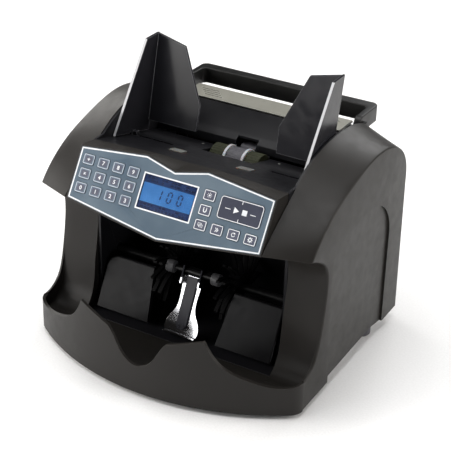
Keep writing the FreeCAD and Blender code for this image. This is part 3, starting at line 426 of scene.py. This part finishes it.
def smoothing_group():
    """Welds a CAD mesh, drops its imported normals and shades it smooth up to the sharp angle."""
    group = bpy.data.node_groups.new("weld_and_smooth", "GeometryNodeTree")
    group.interface.new_socket("Geometry", in_out="INPUT", socket_type="NodeSocketGeometry")
    group.interface.new_socket("Geometry", in_out="OUTPUT", socket_type="NodeSocketGeometry")
    nodes = group.nodes
    chain = [nodes.new("NodeGroupInput")]
    weld = nodes.new("GeometryNodeMergeByDistance")
    weld.inputs["Distance"].default_value = WELD
    drop = nodes.new("GeometryNodeRemoveAttribute")
    drop.inputs["Name"].default_value = "custom_normal"
    faces = nodes.new("GeometryNodeSetShadeSmooth")
    edges = nodes.new("GeometryNodeSetShadeSmooth")
    edges.domain = "EDGE"
    chain += [weld, drop, faces, edges, nodes.new("NodeGroupOutput")]
    for first, second in zip(chain, chain[1:]):
        group.links.new(first.outputs[0], second.inputs[0])
    angle = nodes.new("GeometryNodeInputMeshEdgeAngle")
    gentle = nodes.new("FunctionNodeCompare")
    gentle.operation = "LESS_THAN"
    gentle.inputs[1].default_value = SHARP_ANGLE
    group.links.new(angle.outputs["Unsigned Angle"], gentle.inputs[0])
    group.links.new(gentle.outputs[0], edges.inputs["Shade Smooth"])
    return group


def round_edges(piece, width, group):
    """Welds and smooths a CAD piece, then rounds its sharp edges."""
    weld = piece.modifiers.new("weld", "NODES")
    weld.node_group = group
    bevel = piece.modifiers.new("edges", "BEVEL")
    bevel.width = width
    bevel.segments = 2
    bevel.limit_method = "ANGLE"
    bevel.angle_limit = SHARP_ANGLE
    bevel.harden_normals = True


def dress_cad_nodes():
    """Gives every CAD piece its material and rounded edges."""
    group = smoothing_group()
    for name, piece in NODES.items():
        piece.data.materials.clear()
        piece.data.materials.append(SPECIAL[name] if name in SPECIAL else FINISHES[SLOT_OF[name]])
        round_edges(piece, EDGE_WIDTH.get(name, DEFAULT_EDGE) * MM, group)


# ---------------------------------------------------------------- panel plane
PRESS = Vector(next(j["axis"] for j in frame["joints"] if j["name"] == "key_start_press"))
OUT = -PRESS.normalized()
UP = OUT.cross(Vector((1, 0, 0)))
PRINT = 0.06 * MM        # thickness of one printed layer
SAME_LEVEL = 0.02 * MM
STRAIGHT = 0.01          # sine of the turn below which a point lies on a straight run
SHARPEST = 0.3           # limits how far a mitred corner moves


def on_panel(x, v, w):
    """A point given along X, up the panel's slope and out of it."""
    return Vector((x, 0, 0)) + UP * v + OUT * w


def panel_top(node):
    """How far out of the panel's slope a CAD piece reaches."""
    return max(vertex.co.dot(OUT) for vertex in NODES[node].data.vertices)


def face_loops(node, level):
    """Edges of a CAD piece's flat face at that level above the slope, as rings of (x, v)."""
    mesh = bmesh.new()
    mesh.from_mesh(NODES[node].data)
    bmesh.ops.remove_doubles(mesh, verts=mesh.verts, dist=WELD)
    flat = {face for face in mesh.faces
            if all(abs(vertex.co.dot(OUT) - level) < SAME_LEVEL for vertex in face.verts)}
    ahead = {}
    for face in flat:
        for loop in face.loops:
            if all(other not in flat for other in loop.edge.link_faces if other is not face):
                ahead[loop.vert] = loop.link_loop_next.vert
    rings = []
    while ahead:
        start, vertex = ahead.popitem()
        ring = [start]
        while vertex is not start:
            ring.append(vertex)
            vertex = ahead.pop(vertex)
        rings.append([(vertex.co.x, vertex.co.dot(UP)) for vertex in ring])
    mesh.free()
    return rings


def outer_loop(node):
    """The longest of those rings at the piece's highest flat face."""
    rings = face_loops(node, panel_top(node))
    return corners_only(max(rings, key=lambda ring: max(x for x, v in ring) - min(x for x, v in ring)))


def corners_only(ring):
    """The ring without the points that lie on a straight run."""
    kept = []
    for i, point in enumerate(ring):
        before = Vector(ring[i - 1]) - Vector(point)
        after = Vector(ring[(i + 1) % len(ring)]) - Vector(point)
        if abs(before.normalized().cross(after.normalized())) > STRAIGHT:
            kept.append(point)
    return kept


def moved_in(ring, distance):
    """An anticlockwise ring moved inwards by an even distance."""
    moved = []
    for i, point in enumerate(ring):
        here = Vector(point)
        first = (here - Vector(ring[i - 1])).normalized()
        second = (Vector(ring[(i + 1) % len(ring)]) - here).normalized()
        first_in = Vector((-first.y, first.x))
        second_in = Vector((-second.y, second.x))
        middle = (first_in + second_in).normalized()
        moved.append(tuple(here + middle * distance / max(middle.dot(first_in), SHARPEST)))
    return moved


# ---------------------------------------------------------------- flat shapes
def skin(mesh, rows):
    """Four-sided faces between each ring of vertices and the next one."""
    count = len(rows[0])
    for near, far in zip(rows, rows[1:]):
        for i in range(count):
            j = (i + 1) % count
            mesh.faces.new((near[i], near[j], far[j], far[i]))


def slab(mesh, ring, low, high):
    """A thin block on the panel's slope, over a ring of (x, v)."""
    bottom = [mesh.verts.new(on_panel(x, v, low)) for x, v in ring]
    top = [mesh.verts.new(on_panel(x, v, high)) for x, v in ring]
    mesh.faces.new(top)
    mesh.faces.new(bottom[::-1])
    skin(mesh, [bottom, top])


def band(mesh, outer, inner, low, high):
    """A thin frame on the slope, between two rings with the same number of points."""
    rows = [[mesh.verts.new(on_panel(x, v, w)) for x, v in ring]
            for ring, w in ((outer, low), (outer, high), (inner, high), (inner, low))]
    skin(mesh, rows + rows[:1])


def rectangle(x, v, width, height):
    """A rectangle about (x, v)."""
    half, tall = width / 2, height / 2
    return [(x - half, v - tall), (x + half, v - tall), (x + half, v + tall), (x - half, v + tall)]


def rounded(x, v, width, height, radius, steps=5):
    """A rectangle about (x, v) with round corners."""
    ring = []
    for turn, sx, sv in ((-90, 1, -1), (0, 1, 1), (90, -1, 1), (180, -1, -1)):
        for i in range(steps + 1):
            angle = math.radians(turn + 90 * i / steps)
            ring.append((x + sx * (width / 2 - radius) + radius * math.cos(angle),
                         v + sv * (height / 2 - radius) + radius * math.sin(angle)))
    return ring


def circle(x, v, radius, steps=24):
    """A circle about (x, v)."""
    angles = [2 * math.pi * i / steps for i in range(steps)]
    return [(x + radius * math.cos(angle), v + radius * math.sin(angle)) for angle in angles]


def bar(start, end, width):
    """A straight stroke between two points."""
    run = Vector(end) - Vector(start)
    side = Vector((run.y, -run.x)).normalized() * width / 2
    a, b = Vector(start), Vector(end)
    return [tuple(a + side), tuple(b + side), tuple(b - side), tuple(a - side)]


def arc_stroke(x, v, radius, width, first, last, steps=16):
    """A curved stroke, anticlockwise from first to last degrees."""
    outer, inner = [], []
    for i in range(steps + 1):
        angle = math.radians(first + (last - first) * i / steps)
        cos, sin = math.cos(angle), math.sin(angle)
        outer.append((x + (radius + width / 2) * cos, v + (radius + width / 2) * sin))
        inner.append((x + (radius - width / 2) * cos, v + (radius - width / 2) * sin))
    return outer + inner[::-1]


def add_piece(name, mesh, material, body, smooth=False):
    """Links a finished mesh as a piece of the machine."""
    bmesh.ops.recalc_face_normals(mesh, faces=mesh.faces)
    data = bpy.data.meshes.new(name)
    mesh.to_mesh(data)
    mesh.free()
    data.materials.append(material)
    for face in data.polygons:
        face.use_smooth = smooth
    piece = bpy.data.objects.new(name, data)
    bpy.context.scene.collection.objects.link(piece)
    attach(piece, body)
    return piece


# ---------------------------------------------------------------- printing on the panel
PANEL_MARGIN = 0.15 * MM
RIM_WIDTH = 0.7 * MM
LINE_WIDTH = 1.3 * MM


def print_panel():
    """Dark rim and white border line of the panel's film."""
    outline = outer_loop("panel_overlay")
    level = panel_top("panel_overlay")
    mesh = bmesh.new()
    band(mesh, moved_in(outline, PANEL_MARGIN), moved_in(outline, RIM_WIDTH), level, level + PRINT)
    add_piece("panel_dark_rim", mesh, RIM_INK, "body")
    mesh = bmesh.new()
    line_end = moved_in(outline, RIM_WIDTH + LINE_WIDTH)
    band(mesh, moved_in(outline, RIM_WIDTH), line_end, level, level + PRINT)
    add_piece("panel_border_line", mesh, WHITE_INK, "body")


CAPITAL_SHARE = 0.7      # height of a digit over the font's size
BOLDER = 0.03            # extra stroke width over the height


def digit_strokes(text, height):
    """A printed digit or plus sign about the origin, as a flat mesh from the built-in font."""
    curve = bpy.data.curves.new("digit", "FONT")
    curve.body = text
    curve.size = height / CAPITAL_SHARE
    curve.align_x = "CENTER"
    curve.align_y = "CENTER"
    curve.resolution_u = 4
    curve.offset = BOLDER * height
    carrier = bpy.data.objects.new("digit", curve)
    bpy.context.scene.collection.objects.link(carrier)
    bpy.context.view_layer.update()
    data = bpy.data.meshes.new_from_object(carrier)
    bpy.data.objects.remove(carrier)
    bpy.data.curves.remove(curve)
    return data


def add_digit(mesh, text, x, v, height, low, high):
    """Extrudes a printed digit onto the slope."""
    flat = bmesh.new()
    data = digit_strokes(text, height)
    flat.from_mesh(data)
    bpy.data.meshes.remove(data)
    bmesh.ops.remove_doubles(flat, verts=flat.verts, dist=0.005 * MM)
    xs = [vertex.co.x for vertex in flat.verts]
    ys = [vertex.co.y for vertex in flat.verts]
    middle = Vector(((min(xs) + max(xs)) / 2, (min(ys) + max(ys)) / 2))
    top = {}
    bottom = {}
    for vertex in flat.verts:
        px, pv = x + vertex.co.x - middle.x, v + vertex.co.y - middle.y
        top[vertex] = mesh.verts.new(on_panel(px, pv, high))
        bottom[vertex] = mesh.verts.new(on_panel(px, pv, low))
    for face in flat.faces:
        ring = list(face.verts)
        mesh.faces.new([top[vertex] for vertex in ring])
        mesh.faces.new([bottom[vertex] for vertex in ring[::-1]])
    for edge in flat.edges:
        if len(edge.link_faces) == 1:
            a, b = edge.verts
            mesh.faces.new((bottom[a], bottom[b], top[b], top[a]))
    flat.free()


# Symbols: each gives its strokes about (x, v), and s is about half its size.
def sun(x, v, s):
    rays = [bar((x + 0.55 * s * math.cos(t), v + 0.55 * s * math.sin(t)),
                (x + s * math.cos(t), v + s * math.sin(t)), 0.16 * s)
            for t in (math.pi * i / 4 for i in range(8))]
    return [circle(x, v, 0.36 * s)] + rays


def horseshoe(x, v, s):
    return [arc_stroke(x, v - 0.1 * s, 0.55 * s, 0.34 * s, 180, 360),
            rectangle(x - 0.55 * s, v + 0.25 * s, 0.34 * s, 0.7 * s),
            rectangle(x + 0.55 * s, v + 0.25 * s, 0.34 * s, 0.7 * s),
            rectangle(x - 0.55 * s, v + 0.82 * s, 0.34 * s, 0.26 * s),
            rectangle(x + 0.55 * s, v + 0.82 * s, 0.34 * s, 0.26 * s)]


def two_notes(x, v, s):
    strokes = []
    for dx, dv in ((-0.25, 0.22), (0.25, -0.22)):
        cx, cv = x + dx * s, v + dv * s
        for side in (-1, 1):
            strokes.append(rectangle(cx, cv + side * 0.45 * s, 1.5 * s, 0.14 * s))
            strokes.append(rectangle(cx + side * 0.68 * s, cv, 0.14 * s, 0.76 * s))
    return strokes


def chevrons(x, v, s):
    strokes = []
    for dx in (-0.6, 0.05):
        tip = (x + (dx + 0.6) * s, v)
        strokes.append(bar((x + dx * s, v + 0.7 * s), tip, 0.26 * s))
        strokes.append(bar(tip, (x + dx * s, v - 0.7 * s), 0.26 * s))
    return strokes


def loop_arrow(x, v, s):
    return [arc_stroke(x, v, 0.65 * s, 0.22 * s, 60, 350),
            [(x + 0.28 * s, v + 0.95 * s), (x + 0.18 * s, v + 0.2 * s), (x + 0.82 * s, v + 0.5 * s)]]


def gear(x, v, s):
    teeth = [bar((x + 0.5 * s * math.cos(t), v + 0.5 * s * math.sin(t)),
                 (x + s * math.cos(t), v + s * math.sin(t)), 0.3 * s)
             for t in (math.pi * i / 4 for i in range(8))]
    return [arc_stroke(x, v, 0.52 * s, 0.3 * s, 0, 359)] + teeth


def cross(x, v, s):
    return [bar((x - 0.6 * s, v - 0.6 * s), (x + 0.6 * s, v + 0.6 * s), 0.3 * s),
            bar((x - 0.6 * s, v + 0.6 * s), (x + 0.6 * s, v - 0.6 * s), 0.3 * s)]


SYMBOLS = {"light": sun, "magnet": horseshoe, "double": two_notes, "speed": chevrons,
           "auto": loop_arrow, "set": gear, "clear": cross}
KEY_MARGIN = 0.1 * MM
KEY_LINE = 0.65 * MM
BADGE = (7.4 * MM, 5.8 * MM)
BADGE_CORNER = 1.2 * MM
SYMBOL_SIZE = 2.5 * MM
SMALL_SYMBOL = 0.7       # the cross on the number block, over the other symbols
DIGIT_HEIGHT = 3.6 * MM
STROKE_STEP = 0.004 * MM  # each stroke stands this much higher, so that crossing ones don't share a face


def middle_of(ring):
    """The mean of a ring's points."""
    return sum(x for x, v in ring) / len(ring), sum(v for x, v in ring) / len(ring)


def outline_band(ring, level):
    """The printed line round a key."""
    mesh = bmesh.new()
    band(mesh, moved_in(ring, KEY_MARGIN), moved_in(ring, KEY_MARGIN + KEY_LINE), level, level + PRINT)
    return mesh


def print_key(name):
    """Outline, dark field or badge, and a digit or symbol on one key."""
    node = "key_" + name
    ring = outer_loop(node)
    level = panel_top(node)
    x, v = middle_of(ring)
    numbered = name.isdigit() or name in ("plus", "clear")
    outline_ink = PALE_INK if numbered else WHITE_INK
    add_piece(node + "_outline", outline_band(ring, level), outline_ink, node)
    mesh = bmesh.new()
    if numbered:
        slab(mesh, rounded(x, v, BADGE[0], BADGE[1], BADGE_CORNER), level, level + PRINT)
        add_piece(node + "_badge", mesh, SLATE_INK, node)
    else:
        slab(mesh, moved_in(ring, KEY_MARGIN + KEY_LINE), level, level + PRINT)
        add_piece(node + "_field", mesh, SLATE_INK, node)
    mesh = bmesh.new()
    low, high = level + PRINT, level + 2 * PRINT
    if name in SYMBOLS:
        size = SMALL_SYMBOL * SYMBOL_SIZE if numbered else SYMBOL_SIZE
        for step, stroke in enumerate(SYMBOLS[name](x, v, size)):
            slab(mesh, stroke, low, high + STROKE_STEP * step)
    else:
        add_digit(mesh, "+" if name == "plus" else name, x, v, DIGIT_HEIGHT, low, high)
    add_piece(node + "_symbol", mesh, WHITE_INK, node)


STROKE = 0.6 * MM
DASH_PLACE = 12.5 * MM   # on both sides of the middle
DASH_LENGTH = 5.4 * MM
TICK_PLACE = 8.0 * MM    # above and below the middle
TICK_LENGTH = 2.6 * MM
PLAY_BACK = 6.4 * MM     # the play triangle points to the right, left of the middle
PLAY_TIP = 1.4 * MM
PLAY_HALF = 2.9 * MM
STOP_PLACE = 4.2 * MM
STOP_SIDE = 4.8 * MM


def print_start_key():
    """Outline, dashes, ticks and the play and stop marks."""
    node = "key_start"
    ring = outer_loop(node)
    level = panel_top(node)
    x, v = middle_of(ring)
    add_piece("key_start_outline", outline_band(ring, level), WHITE_INK, node)
    mesh = bmesh.new()
    strokes = [rectangle(x - DASH_PLACE, v, DASH_LENGTH, STROKE),
               rectangle(x + DASH_PLACE, v, DASH_LENGTH, STROKE),
               rectangle(x, v + TICK_PLACE, STROKE, TICK_LENGTH),
               rectangle(x, v - TICK_PLACE, STROKE, TICK_LENGTH),
               [(x - PLAY_BACK, v - PLAY_HALF), (x - PLAY_TIP, v), (x - PLAY_BACK, v + PLAY_HALF)],
               rectangle(x + STOP_PLACE, v, STOP_SIDE, STOP_SIDE)]
    for stroke in strokes:
        slab(mesh, stroke, level, level + PRINT)
    add_piece("key_start_symbol", mesh, WHITE_INK, node)


# ---------------------------------------------------------------- display
FRAME_LINE = 1.3 * MM
FRAME_OVERLAP = 0.02 * MM
DARK_EDGE = (0.1 * MM, 1.0 * MM)           # where it begins and ends, in from the window's edge
TOP_BAND = 7.4 * MM
LOW_BAND = 6.6 * MM

# Layers behind the window's glass, as (low, high) out of the slope from just behind it.
GLASS_GAP = 0.02 * MM
BACKLIGHT_LAYER = (-0.17 * MM, -0.12 * MM)
BAND_LAYER = (-0.12 * MM, -0.08 * MM)
DIGIT_LAYER = (-0.12 * MM, -0.06 * MM)
EDGE_LAYER = (-0.08 * MM, -0.04 * MM)
MARK_LAYER = (-0.08 * MM, -0.05 * MM)

# Small marks in rows on both bands: unreadable signs of random length.
MARK_SEED = 5
TOP_MARK_ROWS = (2.4 * MM, 5.0 * MM)       # down from the window's upper edge
LOW_MARK_ROWS = (4.6 * MM, 2.1 * MM)       # up from its lower edge
TOP_MARK_HEIGHT = 1.5 * MM
LOW_MARK_HEIGHT = 1.3 * MM
MARK_START = 3 * MM
MARK_END = 5 * MM
MARK_LENGTH = (1.4, 3.6)                   # millimetres
MARK_GAP = (0.7, 1.4)                      # millimetres
MARK_SHARE = 0.8

DIGIT_PLACES = (19.4 * MM, 30.1 * MM, 40.8 * MM)
DIGIT_RISE = 15.7 * MM
SEGMENT_SIZE = (3.9 * MM, 9.4 * MM)
SEGMENT_WIDTH = 1.3 * MM
SEGMENT_LEAN = 0.09
SEGMENTS = {"1": "bc", "0": "abcdef"}


def segment_ends(width, height):
    """End points of the segments of one digit about its middle."""
    left, right, top, middle = -width / 2, width / 2, height / 2, 0
    return {"a": ((left, top), (right, top)), "b": ((right, top), (right, middle)),
            "c": ((right, middle), (right, -top)), "d": ((left, -top), (right, -top)),
            "e": ((left, middle), (left, -top)), "f": ((left, top), (left, middle))}


def segment_ring(start, end, width):
    """One display segment: a bar with pointed ends, short of its corners."""
    a, b = Vector(start), Vector(end)
    along = (b - a).normalized()
    side = Vector((along.y, -along.x)) * width / 2
    a, b = a + along * width * 0.25, b - along * width * 0.25
    cut = along * width / 2
    return [a, a + cut + side, b - cut + side, b, b - cut - side, a + cut - side]


def add_marks(mesh, left, right, rows, low, high):
    """Rows of small marks of random length, each row given as (place, height)."""
    draw = random.Random(MARK_SEED)
    for row, tall in rows:
        x = left + MARK_START
        while x < right - MARK_END:
            length = draw.uniform(*MARK_LENGTH) * MM
            if draw.random() < MARK_SHARE:
                slab(mesh, rectangle(x + length / 2, row, length, tall), low, high)
            x += length + draw.uniform(*MARK_GAP) * MM


def add_number(mesh, text, left, v, low, high):
    """A leaning seven-segment number."""
    ends = segment_ends(*SEGMENT_SIZE)
    for place, digit in zip(DIGIT_PLACES, text):
        for letter in SEGMENTS[digit]:
            ring = [(left + place + p.x + SEGMENT_LEAN * p.y, v + p.y)
                    for p in segment_ring(*ends[letter], SEGMENT_WIDTH)]
            slab(mesh, ring, low, high)


def make_display():
    """White frame line on the film, and the lit display with its bands, marks and number."""
    window = corners_only(max(face_loops("lcd_window", panel_top("lcd_window")), key=len))
    left, right = min(x for x, v in window), max(x for x, v in window)
    foot, head = min(v for x, v in window), max(v for x, v in window)
    middle, centre = (left + right) / 2, (foot + head) / 2
    width, height = right - left, head - foot
    hole = rectangle(middle, centre, width, height)
    level = panel_top("panel_overlay")
    back = min(vertex.co.dot(OUT) for vertex in NODES["lcd_window"].data.vertices) - GLASS_GAP

    def layer(span):
        return back + span[0], back + span[1]

    mesh = bmesh.new()
    band(mesh, moved_in(hole, -FRAME_LINE), moved_in(hole, FRAME_OVERLAP), level, level + PRINT)
    add_piece("display_frame", mesh, WHITE_INK, "body")
    mesh = bmesh.new()
    slab(mesh, hole, *layer(BACKLIGHT_LAYER))
    add_piece("display_backlight", mesh, LIT_BLUE, "body")
    mesh = bmesh.new()
    slab(mesh, rectangle(middle, head - TOP_BAND / 2, width, TOP_BAND), *layer(BAND_LAYER))
    slab(mesh, rectangle(middle, foot + LOW_BAND / 2, width, LOW_BAND), *layer(BAND_LAYER))
    add_piece("display_bands", mesh, BAND_BLUE, "body")
    mesh = bmesh.new()
    band(mesh, moved_in(hole, DARK_EDGE[0]), moved_in(hole, DARK_EDGE[1]), *layer(EDGE_LAYER))
    add_piece("display_dark_edge", mesh, MARK_BLUE, "body")
    mesh = bmesh.new()
    rows = [(head - drop, TOP_MARK_HEIGHT) for drop in TOP_MARK_ROWS]
    rows += [(foot + rise, LOW_MARK_HEIGHT) for rise in LOW_MARK_ROWS]
    add_marks(mesh, left, right, rows, *layer(MARK_LAYER))
    add_piece("display_marks", mesh, MARK_BLUE, "body")
    mesh = bmesh.new()
    add_number(mesh, "100", left, foot + DIGIT_RISE, *layer(DIGIT_LAYER))
    add_piece("display_digits", mesh, SEGMENT_INK, "body")


# ---------------------------------------------------------------- rollers
TREAD_BORE = 4.0 * MM
STEPS_PER_RIB = 6
GROOVE_STEPS = (0, 5)    # the steps of each rib that lie in the groove
END_DEPTH = 0.3          # depth of the grooves at the chamfered ends, over their full depth


def tread(name, node, ribs, groove, chamfer, material):
    """Rollers with grooves along them, in place of the plain CAD rings."""
    low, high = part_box(node)
    centre_y, centre_z = (low.y + high.y) / 2, (low.z + high.z) / 2
    radius = (high.z - low.z) / 2
    bore = radius - TREAD_BORE
    mesh = bmesh.new()
    steps = ribs * STEPS_PER_RIB
    for start, end in sorted(solid_spans(node)):
        rows = []
        for x, shrink, deep in ((start, bore, 0), (start, chamfer, END_DEPTH), (start + chamfer, 0, 1),
                                (end - chamfer, 0, 1), (end, chamfer, END_DEPTH), (end, bore, 0)):
            row = []
            for i in range(steps):
                angle = 2 * math.pi * i / steps
                dip = groove * deep if i % STEPS_PER_RIB in GROOVE_STEPS else 0
                reach = radius - shrink - dip
                y = centre_y + reach * math.cos(angle)
                z = centre_z + reach * math.sin(angle)
                row.append(mesh.verts.new((x, y, z)))
            rows.append(row)
        skin(mesh, rows + rows[:1])
    piece = add_piece(name, mesh, material, BODY_OF[node])
    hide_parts(node)
    return piece


def solid_spans(node):
    """(low, high) along X of each separate solid of a node."""
    mesh = bmesh.new()
    mesh.from_mesh(NODES[node].data)
    bmesh.ops.remove_doubles(mesh, verts=mesh.verts, dist=WELD)
    left = set(mesh.verts)
    spans = []
    while left:
        pile = [left.pop()]
        xs = []
        while pile:
            vertex = pile.pop()
            xs.append(vertex.co.x)
            for edge in vertex.link_edges:
                other = edge.other_vert(vertex)
                if other in left:
                    left.remove(other)
                    pile.append(other)
        spans.append((min(xs), max(xs)))
    mesh.free()
    return spans


# ---------------------------------------------------------------- hopper sensors
LENS_PLACES = ((-42.5 * MM, 44 * MM), (42.5 * MM, 44 * MM))
# (radius, height over the floor)
LENS_PROFILE = ((1.5 * MM, -0.6 * MM), (1.5 * MM, 0.06 * MM), (1.2 * MM, 0.18 * MM),
                (0.7 * MM, 0.25 * MM))
LENS_STEPS = 24
ABOVE_ALL = 1.0


def make_sensor_lenses():
    """Low domed lenses let into the hopper floor on both sides of the feed rollers."""
    tub = bmesh.new()
    tub.from_mesh(NODES["hopper_tub"].data)
    surface = BVHTree.FromBMesh(tub)
    tub.free()
    mesh = bmesh.new()
    for x, y in LENS_PLACES:
        seat, normal = surface.ray_cast(Vector((x, y, ABOVE_ALL)), Vector((0, 0, -1)))[:2]
        along = Vector((1, 0, 0))
        across = normal.cross(along)
        rows = []
        for radius, height in LENS_PROFILE:
            row = []
            for i in range(LENS_STEPS):
                angle = 2 * math.pi * i / LENS_STEPS
                outward = math.cos(angle) * along + math.sin(angle) * across
                row.append(mesh.verts.new(seat + radius * outward + height * normal))
            rows.append(row)
        skin(mesh, rows)
        mesh.faces.new(rows[0][::-1])
        mesh.faces.new(rows[-1])
    add_piece("hopper_sensor_lenses", mesh, FINISHES["pad_plastic"], "body", smooth=True)


# ---------------------------------------------------------------- floor and cove
FLOOR_HALF = 6.0
COVE_STEPS = 64
# (radius, height)
COVE_PROFILE = ((1.0, 0.001), (1.5, 0.004), (2.0, 0.03), (2.5, 0.12), (3.1, 0.5), (3.5, 1.2), (3.7, 3.0))


def stage_object(name, mesh, material):
    """Links a finished mesh as a part of the studio."""
    data = bpy.data.meshes.new(name)
    mesh.to_mesh(data)
    mesh.free()
    data.materials.append(material)
    staged = bpy.data.objects.new(name, data)
    bpy.context.scene.collection.objects.link(staged)
    return staged


def make_floor():
    """A pale matt floor."""
    mesh = bmesh.new()
    bmesh.ops.create_grid(mesh, x_segments=4, y_segments=4, size=FLOOR_HALF)
    paint = finish("floor_paint", tone(252, 252, 252), tone(254, 254, 254), (0.6, 0.7), patch=0.5,
                   grain=2 * MM, depth=0.01 * MM)
    stage_object("floor", mesh, paint)


def make_cove():
    """A white studio cove round the floor.  Only the camera sees it, so it throws no light."""
    mesh = bmesh.new()
    rows = []
    for radius, height in COVE_PROFILE:
        row = []
        for i in range(COVE_STEPS):
            angle = 2 * math.pi * i / COVE_STEPS
            row.append(mesh.verts.new((radius * math.cos(angle), radius * math.sin(angle), height)))
        rows.append(row)
    skin(mesh, rows[::-1])
    paint = glow("cove_paint", tone(252, 252, 252), tone(254, 254, 254), 1.0, 0.5)
    cove = stage_object("cove", mesh, paint)
    cove.visible_diffuse = False
    cove.visible_glossy = False
    cove.visible_transmission = False
    cove.visible_shadow = False


# ---------------------------------------------------------------- the scene
FAINTLY_WARM = (1.0, 0.98, 0.95)
WARM = (1.0, 0.975, 0.95)
WARMER = (1.0, 0.965, 0.93)
WORLD_STRENGTH = 0.03

make_camera()
make_world(WORLD_STRENGTH, WORLD_STRENGTH)
softbox("top_light", (-0.1, 0.0, 1.7), 1.2, 20)
softbox("left_light", (-1.5, -0.7, 0.7), 0.9, 26, WARM)
softbox("left_low_light", (-1.2, -1.3, 0.35), 0.7, 5, FAINTLY_WARM)
softbox("left_rear_light", (-1.5, 0.8, 0.6), 0.9, 7.5, FAINTLY_WARM)
softbox("rear_light", (0.0, 1.6, 1.2), 0.9, 13)
softbox("right_light", (1.5, 0.6, 0.75), 0.9, 15.5, WARMER)
softbox("right_low_light", (1.4, -0.9, 0.25), 0.4, 5)
softbox("bracket_card", (-0.62, -1.22, 0.52), 0.4, 2.2)
make_floor()
make_cove()
dress_cad_nodes()
print_panel()
for key in ("plus", "7", "8", "9", "clear", "4", "5", "6", "0", "1", "2", "3",
            "light", "magnet", "double", "speed", "auto", "set"):
    print_key(key)
print_start_key()
make_display()
tread("feed_rubber_treads", "feed_rubbers", 30, 0.35 * MM, 0.6 * MM,
      FINISHES["olive_rubber"])
tread("feed_centre_tread", "feed_centre_roller", 40, 0.2 * MM, 0.5 * MM,
      FINISHES["black_rubber"])
make_sensor_lenses()
bpy.context.scene.view_settings.view_transform = "Standard"
